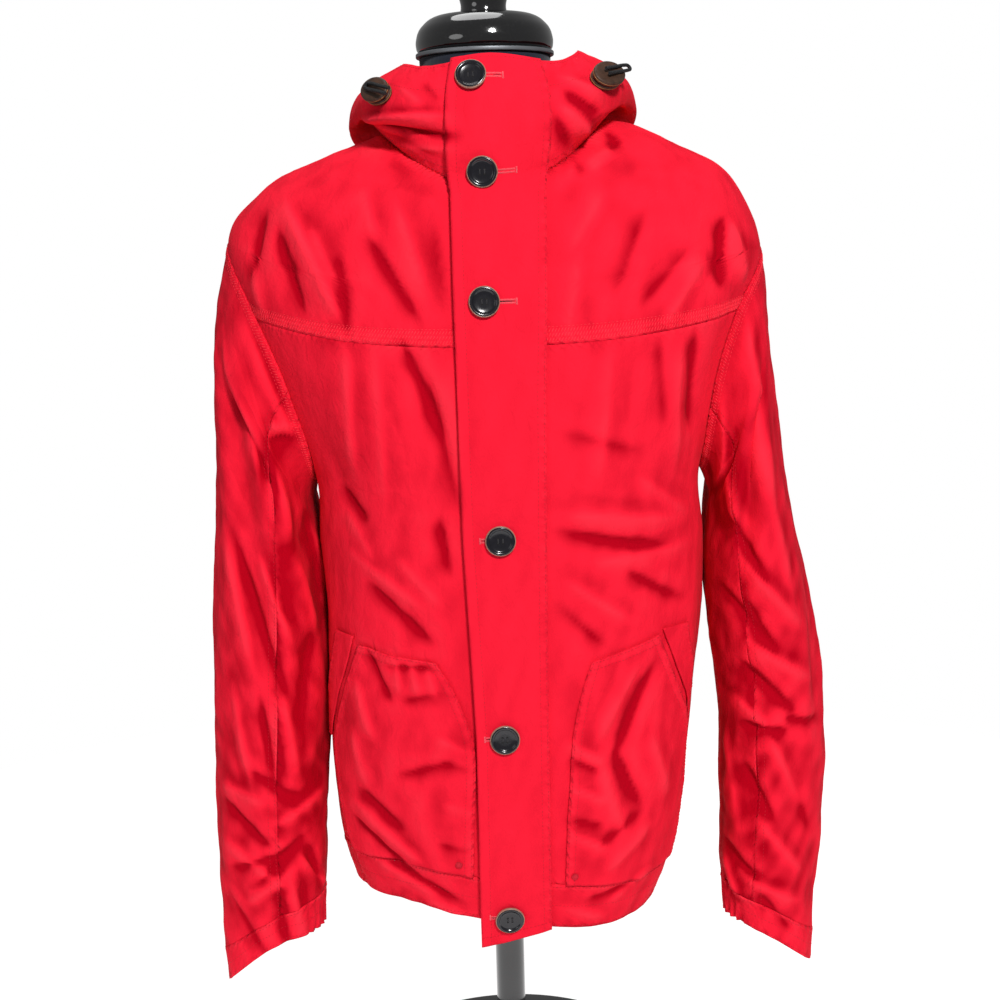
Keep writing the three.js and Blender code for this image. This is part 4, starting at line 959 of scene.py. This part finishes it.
def hood_cloth(name, side, start, end, width, length, **seams):
    def place(u, v):
        return hood_point(mix(start, end, u), 5 * v)
    return Cloth(name, place, (width, length), coat_relief, side, **seams)


FLAP_OUT = 3.75             # outer face of the flap above the coat's front
FLAP_SEAM_OUT = 3.1         # the same along its seam
PATCH_OUT = 2.5             # outer face of a pocket above the coat's front
FLAP_FOOT = 36              # height over which the flap's foot slants
SOFT_BEND = 7               # reach over which the flap bridges the bend at the neck seam


def flap_point(x, z, out):
    low, mid, high = (front_at(x, z + d) for d in (-SOFT_BEND, 0, SOFT_BEND))
    p, n = (low[0] + mid[0] + high[0]) / 3, (low[1] + mid[1] + high[1]).normalized()
    return p + n * out


def flap_cloth(name, **seams):
    def place(u, v):
        z = mix(FLAP_LOW, FLAP_HIGH, v)
        free, seam, lift = look_up(FLAP_EDGES, z)
        slant = FLAP_FOOT_RISE * u * max(0.0, 1 - (z - FLAP_LOW) / FLAP_FOOT)
        out = mix(FLAP_OUT, FLAP_SEAM_OUT, smooth((u - 0.86) / 0.14)) + (lift + 0.6) * (1 - u) ** 2.2
        return flap_point(mix(free, seam, u), z + slant, out)
    return Cloth(name, place, (76, 800), coat_relief, 1, pitch=PATCH_PITCH, **seams)


def on_flap(cloth, x, z, rise=0.0):
    """Point and normal of the flap at an x and a height, or a rise above that height."""
    free, seam, _ = look_up(FLAP_EDGES, z)
    return cloth.at((x - free) / (seam - free), (z + rise - FLAP_LOW) / (FLAP_HIGH - FLAP_LOW))


def pocket_cloth(name, side, table, **seams):
    rows = [[row_at(front_z), row_at(mouth_z)] for _, front_z, _, mouth_z in table]
    ends = [[angle_at(r[0], low), angle_at(r[2], high)] for r, (low, high) in zip(table, rows)]
    columns = list(zip(*[row + end for row, end in zip(rows, ends)]))

    def place(u, v):
        low, high, start, end = (through(column, v * (len(table) - 1)) for column in columns)
        angle, row = mix(start, end, u), mix(low, high, u)
        return body_point(angle, row) + normal_of(body_point, angle, row) * PATCH_OUT
    return Cloth(name, place, (112, 205), coat_relief, side, pitch=PATCH_PITCH, **seams)


def welt_cloth(name, side, table, **seams):
    def place(u, v):
        z = mix(table[0][0], table[-1][0], v)
        from_x, width = look_up(table, z)
        row = row_at(z)
        start = angle_at(from_x, row)
        angle = start + side * width * u
        return body_point(angle, row) + normal_of(body_point, angle, row) * PATCH_OUT
    return Cloth(name, place, (34, 112), coat_relief, side, pitch=PATCH_PITCH, **seams)


# Rounded hard pieces and the form
def axes(origin, across, upward, outward):
    """Matrix that takes millimetres on a piece's own axes to metres in the scene."""
    turn = Matrix((across, upward, outward)).transposed().to_4x4()
    return Matrix.Translation(origin * MM) @ turn @ Matrix.Scale(MM, 4)


def spun(profile, steps, matrix):
    """Round piece from radius and height pairs, about the matrix's third axis."""
    bm = bmesh.new()
    line = [bm.verts.new((r, 0, h)) for r, h in profile]
    edges = [bm.edges.new(pair) for pair in zip(line, line[1:])]
    bmesh.ops.spin(bm, geom=line + edges, cent=(0, 0, 0), axis=(0, 0, 1), dvec=(0, 0, 0), angle=math.tau,
                   steps=steps, use_merge=True, use_normal_flip=False, use_duplicate=False)
    bmesh.ops.remove_doubles(bm, verts=bm.verts, dist=1e-4)
    bmesh.ops.recalc_face_normals(bm, faces=bm.faces)
    bmesh.ops.transform(bm, matrix=matrix, verts=bm.verts)
    return smoothed(bm)


def rounded(corners, radius=0.8, steps=3):
    """A profile with its inner corners rounded."""
    out = [corners[0]]
    for a, b, c in zip(corners, corners[1:], corners[2:]):
        a, b, c = Vector(a), Vector(b), Vector(c)
        reach = min(radius, (a - b).length * 0.45, (c - b).length * 0.45)
        start, end = b + (a - b).normalized() * reach, b + (c - b).normalized() * reach
        for k in range(steps + 1):
            t = k / steps
            out.append(tuple(start * (1 - t) ** 2 + b * (2 * t * (1 - t)) + end * t * t))
    out.append(corners[-1])
    return out


def seated(piece, slot, *nodes):
    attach(piece, "root")
    if nodes:
        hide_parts(*nodes)
    return piece


BUTTON_PROFILE = [
    (0, 0), (9.2, 0), (11.9, 1.3), (12.7, 2.6), (12.3, 4.2), (11.2, 4.6), (10.0, 4.2), (9.0, 3.1), (6.0, 2.55),
    (0, 2.5),
]
HOLE_REACH = 2.0
HOLE_RADIUS = 0.95
RIM_PROFILE = [(12.2, 1.5), (12.6, 1.5), (13.05, 2.6), (12.85, 3.6), (12.2, 4.3), (12.2, 1.5)]


def button(number, cloth, x, z, horn, rim, hole_shade, thread):
    """Four-hole button with a raised rim, sewn on with thread."""
    p, n = on_flap(cloth, x, z)
    across = Vector((1, 0, 0))
    across = (across - n * across.dot(n)).normalized()
    matrix = axes(p + n * 0.25, across, n.cross(across), n)
    face = spun(rounded(BUTTON_PROFILE, 1.0), 48, matrix)
    seated(new_object(f"button_{number}_face", face, horn), "button", f"button_{number}")
    seated(new_object(f"button_{number}_rim", spun(RIM_PROFILE, 48, matrix), rim), "button")
    # Each hole is closed by a dark disc, painted shade for its inside
    holes, strands = bmesh.new(), bmesh.new()
    for dx in (-1, 1):
        for dy in (-1, 1):
            at = Vector((dx * HOLE_REACH, dy * HOLE_REACH, 2.56))
            bmesh.ops.create_circle(holes, cap_ends=True, segments=14, radius=HOLE_RADIUS,
                                    matrix=matrix @ Matrix.Translation(at))
        for shift in (-0.3, 0.3):
            arc = (Matrix.Translation((dx * HOLE_REACH + shift, 0, 2.6))
                   @ Matrix.Diagonal((0.3, HOLE_REACH + 0.3, 0.75, 1)))
            bmesh.ops.create_icosphere(strands, subdivisions=2, radius=1.0, matrix=matrix @ arc)
    seated(new_object(f"button_{number}_holes", holes, hole_shade), "button")
    seated(new_object(f"button_{number}_thread", strands, thread), "button")


def lock_axes(name):
    x, z, _, _, half_thick, tilt = CORD_LOCKS[name]
    p, n = hood_at(x, z)
    across = Matrix.Rotation(math.radians(tilt), 3, n) @ Vector((0, 0, 1)).cross(n).normalized()
    inward = -n
    return axes(p + n * half_thick, across, inward, across.cross(inward))


def cord_lock(name, leather, edge):
    """Leather cord lock: two oval layers, their raw edges tan."""
    _, _, half_length, half_height, half_thick, _ = CORD_LOCKS[name]
    side = -1 if name == "right" else 1
    base = lock_axes(name) @ Matrix.Rotation(side * math.radians(-7), 4, "Z")
    # the layers' thickness lies across the hood
    swap = Matrix(((1, 0, 0, 0), (0, 0, -1, 0), (0, 1, 0, 0), (0, 0, 0, 1)))
    layers, edges = bmesh.new(), bmesh.new()
    for middle, grow in ((-0.46, 0.95), (0.46, 1.0)):
        for bm, high, swell in ((layers, 0.42, 1.0), (edges, 0.13, 1.008)):
            outline = [(0, -high), (0.86, -high), (0.97, -high * 0.8), (1.0, -high * 0.3), (1.0, high * 0.3),
                       (0.97, high * 0.8), (0.86, high), (0, high)]
            size = Matrix.Diagonal((half_length * grow * swell, half_height * grow * swell, half_thick, 1))
            shape = base @ swap @ size
            part = spun(rounded(outline, 0.05), 40, shape @ Matrix.Translation((0, 0, middle)))
            mesh = bpy.data.meshes.new("layer")
            part.to_mesh(mesh)
            part.free()
            bm.from_mesh(mesh)
            bpy.data.meshes.remove(mesh)
    seated(new_object(f"cord_lock_{name}_leather", layers, leather), "leather", f"cord_lock_{name}")
    seated(new_object(f"cord_lock_{name}_edges", edges, edge), "leather")


def cord_route(name):
    """Route of the drawcord, as in the solids: doubled over the lock's face to its loop."""
    inner, loop = CORD_RUNS[name]
    outward = -1 if name == "right" else 1
    face = CORD_LOCKS[name][4] + CORD_RADIUS + LAID_ON
    middle = mix(-inner, loop, 0.4)
    points = [(-inner, CORD_HALF_SPAN), (middle, CORD_HALF_SPAN), (loop - 4, CORD_HALF_SPAN), (loop - 1, 2), (loop, 0),
              (loop - 1, -2), (loop - 4, -CORD_HALF_SPAN), (middle, -CORD_HALF_SPAN), (-inner, -CORD_HALF_SPAN)]
    matrix = lock_axes(name)
    return [matrix @ Vector((outward * along, -face, up)) for along, up in points]


def drawcord(name, material):
    points = cord_route(name)
    curve = bpy.data.curves.new(f"drawcord_{name}_elastic", "CURVE")
    curve.dimensions = "3D"
    spline = curve.splines.new("BEZIER")
    spline.bezier_points.add(len(points) - 1)
    for knot, p in zip(spline.bezier_points, points):
        knot.co = p
        knot.handle_left_type = knot.handle_right_type = "AUTO"
    curve.bevel_depth = CORD_RADIUS * MM
    curve.bevel_resolution = 4
    curve.use_fill_caps = True
    curve.materials.append(material)
    piece = placed(curve.name, curve)
    seated(piece, "cord", f"drawcord_{name}")
    tuple(points[0])


FORM_ROWS = [(0.9, 24), (1.3, 17), (2.4, 15), (3.6, 17), (5, 17), (6, 16), (7, 16), (8, 16)]     # row, ease
FORM_SHOULDER_EASE = 9
FORM_FOOT = 262
FORM_NECK = [(937, 72), (953, 62), (974, 58), (990, 58)]     # height, radius


def form_ring(angle):
    points = []
    for row, ease in FORM_ROWS + [(r, FORM_SHOULDER_EASE) for r in (9, 10, 11, 12, 13)]:
        top = bell((from_front(angle) - 90) / 50) * bell((row - 10.9) / 2.4)
        n = normal_of(body_shape, angle, row)
        points.append(body_shape(angle, row) - n * (1.4 + mix(ease, LAID_ON, min(top * 2.2, 1))))
    points[0].z = FORM_FOOT
    s, c = sine_cosine(angle)
    return points + [Vector((radius * s, -radius * c, z)) for z, radius in FORM_NECK]


def form_torso(material):
    """Smooth closed torso of the limbless form."""
    columns, per_ring = 96, 4
    rings = [list(zip(*form_ring(i * 360 / columns))) for i in range(columns)]
    rows = (len(rings[0][0]) - 1) * per_ring
    bm = bmesh.new()
    bmesh.ops.create_grid(bm, x_segments=columns, y_segments=rows, size=0.5)
    for v in bm.verts:
        i, j = round((v.co.x + 0.5) * columns) % columns, round((v.co.y + 0.5) * rows)
        v.co = Vector([through(values, j / per_ring) for values in rings[i]]) * MM
    bmesh.ops.remove_doubles(bm, verts=bm.verts, dist=1e-6)
    bmesh.ops.holes_fill(bm, edges=[e for e in bm.edges if e.is_boundary], sides=0)
    bmesh.ops.recalc_face_normals(bm, faces=bm.faces)
    for face in bm.faces:
        face.smooth = len(face.verts) < 5
    seated(new_object("form_torso_jersey", bm, material), "form_cloth", "form_torso")


UPRIGHT = axes(Vector((0, 0, 0)), Vector((1, 0, 0)), Vector((0, 1, 0)), Vector((0, 0, 1)))
TURNED = {
    "form_neck_trim": ([(0, 990.7), (61, 990.7), (61, 994.5), (0, 994.5)], 1.2, "trim"),
    "form_neck_cap": ([(0, 994.9), (59.5, 994.9), (61, 1003), (58.5, 1014), (50, 1022.5), (42, 1026), (0, 1026)], 6,
                      "lacquered_wood"),
    "form_knob": ([(0, 1026.4), (21, 1026.4), (19.5, 1034), (22, 1044), (23.5, 1054), (21, 1064), (12, 1072),
                   (0, 1074)], 6, "lacquered_wood"),
    "form_flange": ([(0, 251.3), (34, 251.3), (34, 261.3), (0, 261.3)], 1.6, "stand_paint"),
    "stand_pole": ([(0, 12.7), (14, 12.7), (14, 250.6), (0, 250.6)], 0.8, "stand_paint"),
    "stand_base": ([(0, 0), (165, 0), (165, 6), (159, 11), (135, 12), (0, 12)], 1.6, "stand_paint"),
}


def turned(node, material):
    profile, radius, slot = TURNED[node]
    seated(new_object(f"{node}_turned", spun(rounded(profile, radius, 5), 96, UPRIGHT), material), slot, node)


# Sewing
def along_line(points, pitch):
    """Evenly spaced places along a line of points with normals: point, direction, normal."""
    out, left = [], pitch / 2
    for (a, n), (b, _) in zip(points, points[1:]):
        run = b - a
        if run.length < 1e-6:
            continue
        while left < run.length:
            out.append((a + run * (left / run.length), run.normalized(), n))
            left += pitch
        left -= run.length
    return out


def stitch_row(bm, points, pitch=STITCH_PITCH, long=STITCH_LENGTH, thick=STITCH_THICK, slant=0):
    """Thread bumps along a line, turned by a slant in degrees."""
    turn = Matrix.Rotation(math.radians(slant), 4, "Z")
    for p, along, n in along_line(points, pitch):
        lying = axes(p + n * STITCH_LIFT, along, n.cross(along).normalized(), n)
        matrix = lying @ turn @ Matrix.Diagonal((long, thick, thick, 1))
        bmesh.ops.create_icosphere(bm, subdivisions=1, radius=0.5, matrix=matrix)


def stitching(name, lines, thread, bands=(), pale=None):
    """Topstitching along lines, and dense slanting rows in the bands."""
    bm = bmesh.new()
    for line in lines:
        stitch_row(bm, line)
    worked = bmesh.new()
    for band in bands:
        stitch_row(worked, band, 2.6, 4.8, 0.6, slant=62)
    seated(new_object(name, smoothed(bm), thread), "coat_cloth")
    if bands:
        seated(new_object(f"{name}_band", smoothed(worked), pale), "coat_cloth")
    else:
        worked.free()


def buttonhole(number, cloth, start, end, z, thread, hole_shade):
    """Worked slot in the flap: whipped along both sides, with a bar tack at its outer end."""
    bm = bmesh.new()
    for dz in (-1.25, 1.25):
        stitch_row(bm, [on_flap(cloth, x, z, dz) for x in spread(start, end, 8)], 0.8, 2.2, 0.8, slant=90)
    for tip, dx in ((start, -0.9), (end, 0.9)):
        bar = [on_flap(cloth, tip + dx, z, dz) for dz in (-2.9, 0, 2.9)]
        stitch_row(bm, bar, 0.8, 2.0, 0.9, slant=90)
    seated(new_object(f"buttonhole_{number}_thread", smoothed(bm), thread), "coat_cloth")
    (a, n), (b, _) = on_flap(cloth, start, z), on_flap(cloth, end, z)
    # The slit is a flat dark sliver, painted shade
    slot = bmesh.new()
    shape = axes((a + b) / 2 + n * 0.02, (b - a).normalized(), n.cross((b - a).normalized()), n)
    bmesh.ops.create_icosphere(slot, subdivisions=2, radius=0.5,
                               matrix=shape @ Matrix.Diagonal(((b - a).length, 0.8, 0.3, 1)))
    seated(new_object(f"buttonhole_{number}_slot", slot, hole_shade), "coat_cloth")


def eyelet(name, p, n, radius, thread, hole_shade):
    """Stitched eyelet: a worked ring round a dark hole, a disc whose colour is painted shade."""
    ring, hole = bmesh.new(), bmesh.new()
    across = Vector((0, 0, 1)).cross(n).normalized()
    upward = n.cross(across)
    circle = [p + (across * math.cos(t * math.tau / 24) + upward * math.sin(t * math.tau / 24)) * radius
              for t in range(25)]
    stitch_row(ring, [(q, n) for q in circle], 0.8, 2.0, 0.8, slant=90)
    bmesh.ops.create_circle(hole, cap_ends=True, segments=20, radius=radius - 0.6,
                            matrix=axes(p + n * 0.15, across, upward, n))
    seated(new_object(f"{name}_ring", smoothed(ring), thread), "coat_cloth")
    seated(new_object(f"{name}_hole", hole, hole_shade), "coat_cloth")


# Camera and studio, in metres and degrees; the lens and its sensor are in millimetres
CAMERA_PLACE, CAMERA_TILT, CAMERA_ROLL = (0.0025, -1.4, 0.85), 79.6, -1.6
CAMERA_SENSOR, CAMERA_LENS = 36.0, 55.08
SURROUND = 0.24             # light from all round
# Lights: place, what they aim at, size, power
LIGHTS = {
    "key": ((0.62, -2.45, 2.35), (0, 0, 0.62), 0.45, 87),
    "fill": ((-2.4, -2.2, 1.4), (0, 0, 0.6), 1.4, 9),
    "top": ((-0.2, 0.5, 2.9), (0, 0, 0.8), 1.4, 16),
}


def studio_camera():
    data = bpy.data.cameras.new("studio_camera")
    data.sensor_width, data.lens = CAMERA_SENSOR, CAMERA_LENS
    camera = placed("studio_camera", data)
    camera.matrix_world = (Matrix.Translation(CAMERA_PLACE) @ Matrix.Rotation(math.radians(CAMERA_TILT), 4, "X")
                           @ Matrix.Rotation(math.radians(CAMERA_ROLL), 4, "Z"))
    bpy.context.scene.camera = camera


def studio_floor(material):
    bm = bmesh.new()
    bmesh.ops.create_circle(bm, cap_ends=True, segments=96, radius=1.25)
    new_object("studio_floor", bm, material)


def soft_light(name, place, aim, size, power):
    data = bpy.data.lights.new(name, "AREA")
    data.shape, data.size, data.energy = "DISK", size, power
    light = placed(name, data)
    turn = (Vector(aim) - Vector(place)).to_track_quat("-Z", "Y").to_matrix().to_4x4()
    light.matrix_world = Matrix.Translation(place) @ turn


def studio_light():
    """Soft frontal light with a bright surround that the camera sees as white."""
    world = bpy.data.worlds.new("studio_world")
    world.use_nodes = True
    tree = world.node_tree
    surround = tree.nodes["Background"]
    surround.inputs["Color"].default_value = (1, 1, 1, 1)
    surround.inputs["Strength"].default_value = SURROUND
    seen = tree.nodes.new("ShaderNodeBackground")
    seen.inputs["Color"].default_value = (1, 1, 1, 1)
    path, choice = tree.nodes.new("ShaderNodeLightPath"), tree.nodes.new("ShaderNodeMixShader")
    tree.links.new(path.outputs["Is Camera Ray"], choice.inputs[0])
    tree.links.new(surround.outputs[0], choice.inputs[1])
    tree.links.new(seen.outputs[0], choice.inputs[2])
    tree.links.new(choice.outputs[0], tree.nodes["World Output"].inputs["Surface"])
    bpy.context.scene.world = world
    bpy.context.scene.view_settings.view_transform = "Standard"
    for name, values in LIGHTS.items():
        soft_light(name, *values)


# The coat's pieces
def hang(cloth, node, material, thick=CLOTH):
    piece = seated(cloth.build(material, thick), "coat_cloth", node)
    width, length, area = cloth.flat_size()
    min(area, 0.999 * round(width, 3) * round(length, 3))
    return cloth


def make_coat(red):
    """Every piece of the coat's cloth, by name."""
    coat = {}
    for name, side in (("right", -1), ("left", 1)):
        front = front_cloth(f"front_{name}_cloth", side, BAND_ROW, YOKE_ROW, 262, 480, puckers={"top": 5, "bottom": 5})
        coat[f"front_{name}"] = hang(front, f"front_{name}", red)
        yoke = front_cloth(f"yoke_front_{name}_cloth", side, YOKE_ROW, NECK_ROW, 240, 190,
                           welts={"bottom": (11, 0.5)}, puckers={"bottom": 13, "top": 6, "last": 6})
        coat[f"yoke_{name}"] = hang(yoke, f"yoke_front_{name}", red)
        band = front_cloth(f"hem_band_{name}_cloth", side, 0, BAND_ROW, 250, 45,
                           welts={"top": (5, 0.6)}, puckers={"top": 6, "bottom": 6})
        coat[f"band_{name}"] = hang(band, f"hem_band_front_{name}", red)
    coat["back"] = hang(back_cloth("back_cloth", BAND_ROW, YOKE_ROW, 500, 495, puckers={"top": 5}), "back", red)
    coat["yoke_back"] = hang(back_cloth("yoke_back_cloth", YOKE_ROW, NECK_ROW, 480, 190, welts={"bottom": (11, 0.8)},
                                        puckers={"bottom": 13, "top": 6}), "yoke_back", red)
    coat["band_back"] = hang(back_cloth("hem_band_back_cloth", 0, BAND_ROW, 480, 45, welts={"top": (5, 0.6)},
                                        puckers={"top": 6, "bottom": 6}), "hem_band_back", red)
    for name, side in (("right", -1), ("left", 1)):
        seam = SLEEVE_SEAM[side]
        edges = {"puckers": {"bottom": 9, "first": 4, "last": 4}, "welts": {"bottom": (9, 0.4)}}
        top = sleeve_cloth(f"sleeve_top_{name}_cloth", side, -seam, seam, 300, **edges)
        coat[f"sleeve_top_{name}"] = hang(top, f"sleeve_top_{name}", red)
        under = sleeve_cloth(f"sleeve_under_{name}_cloth", side, seam, 360 - seam, 200, **edges)
        coat[f"sleeve_under_{name}"] = hang(under, f"sleeve_under_{name}", red)
        cuff = cuff_cloth(f"cuff_{name}_cloth", side, welts={"bottom": (3, 0.5)}, puckers={"bottom": 6, "top": 5})
        coat[f"cuff_{name}"] = hang(cuff, f"cuff_{name}", red)
        hood = hood_cloth(f"hood_side_{name}_cloth", side, 0, side * HOOD_SEAM_ANGLE, 300, 210,
                          puckers={"bottom": 7, "top": 9, "last": 5})
        coat[f"hood_{name}"] = hang(hood, f"hood_side_{name}", red)
    centre = hood_cloth("hood_centre_cloth", 1, HOOD_SEAM_ANGLE, 360 - HOOD_SEAM_ANGLE, 170, 370,
                        puckers={"bottom": 7, "top": 9})
    coat["hood_centre"] = hang(centre, "hood_centre", red)
    flap = flap_cloth("storm_flap_cloth", welts={"first": (9, 0.3)}, puckers={"last": 4})
    coat["flap"] = hang(flap, "storm_flap", red, thick=FLAP_CLOTH)
    for name, side in (("right", -1), ("left", 1)):
        pocket = pocket_cloth(f"pocket_{name}_cloth", side, POCKETS[name],
                              welts={"first": (7, 0.5), "last": (8, 0.7), "top": (7, 0.5)},
                              puckers={"first": 5, "last": 6, "top": 5})
        coat[f"pocket_{name}"] = hang(pocket, f"pocket_{name}", red)
        welt = welt_cloth(f"pocket_welt_{name}_cloth", side, WELTS[name], puckers={"last": 5})
        coat[f"welt_{name}"] = hang(welt, f"pocket_welt_{name}", red)
    return coat


def rows_beside(cloth, **edges):
    """Lines at distances inside the named edges of a cloth."""
    return [cloth.beside(edge, away) for edge, distances in edges.items() for away in distances]


def sew_coat(coat, thread, pale):
    """Topstitching, one object for each group of seams."""
    for name in ("right", "left"):
        yoke, band, hood = coat[f"yoke_{name}"], coat[f"band_{name}"], coat[f"hood_{name}"]
        pocket, welt = coat[f"pocket_{name}"], coat[f"welt_{name}"]
        top, under, cuff = coat[f"sleeve_top_{name}"], coat[f"sleeve_under_{name}"], coat[f"cuff_{name}"]
        stitching(f"stitching_yoke_{name}", rows_beside(yoke, bottom=(2.4, 15)), pale,
                  rows_beside(yoke, bottom=(4, 8, 12)), pale)
        stitching(f"stitching_hem_{name}", rows_beside(band, top=(3, 22), bottom=(3,)), thread)
        stitching(f"stitching_pocket_{name}",
                  rows_beside(pocket, first=(2, 8), top=(2, 8), last=(2, 9)) + rows_beside(welt, last=(2,)), thread)
        stitching(f"stitching_armhole_{name}",
                  rows_beside(top, bottom=(2, 10)) + rows_beside(under, bottom=(2, 10)), pale,
                  rows_beside(top, bottom=(6,)) + rows_beside(under, bottom=(6,)), pale)
        stitching(f"stitching_sleeve_{name}", rows_beside(top, last=(2, 8), first=(2, 8)), thread)
        stitching(f"stitching_cuff_{name}", rows_beside(cuff, bottom=(2.5,), top=(3, 15)), thread)
        stitching(f"stitching_hood_{name}", rows_beside(hood, bottom=(2, 8), top=(3, 27), last=(2, 8)), thread)
    back, band = coat["yoke_back"], coat["band_back"]
    stitching("stitching_yoke_back", rows_beside(back, bottom=(2.4, 15)), pale,
              rows_beside(back, bottom=(4, 8, 12)), pale)
    stitching("stitching_back", rows_beside(band, top=(3, 22), bottom=(3,)), thread)
    stitching("stitching_hood_centre", rows_beside(coat["hood_centre"], bottom=(2,), top=(3, 27)), thread)
    stitching("stitching_flap", rows_beside(coat["flap"], first=(9,), last=(1.6, 7), bottom=(9,), top=(3,)), thread)


studio_camera()
cord_black = elastic_cord()
for cord_name in ("right", "left"):
    drawcord(cord_name, cord_black)

red_cotton, pink_thread, hole_shade = coat_cotton(), plain("buttonhole_thread"), plain("hole_painted_shade")
red_thread, pale_thread = plain("seam_thread"), plain("band_thread")
horn, rim, grey_thread = button_horn(), plain("horn_rim"), plain("button_thread")
form_torso(form_jersey())
lacquer = black_lacquer()
for node in TURNED:
    turned(node, rim_metal() if node == "form_neck_trim" else lacquer)

coat = make_coat(red_cotton)
sew_coat(coat, red_thread, pale_thread)
for number, (x, z) in enumerate(BUTTONS, 1):
    button(number, coat["flap"], x, z, horn, rim, hole_shade, grey_thread)
    start, end = (6, 26) if number <= 3 else (-16, -6)
    buttonhole(number, coat["flap"], x + start, x + end, z, pink_thread, hole_shade)
leather, tan = lock_leather(), plain("lock_edge")
for cord_name in ("right", "left"):
    cord_lock(cord_name, leather, tan)
for number, (x, z) in enumerate([(-42, 286), (59, 283)], 1):
    p, n = front_at(x, z)
    eyelet(f"hem_eyelet_{number}", p + n * 3.4, n, 2.6, red_thread, red_thread)

studio_floor(plain("studio_paper", Emission_Color=(1, 1, 1, 1), Emission_Strength=0.93))
studio_light()
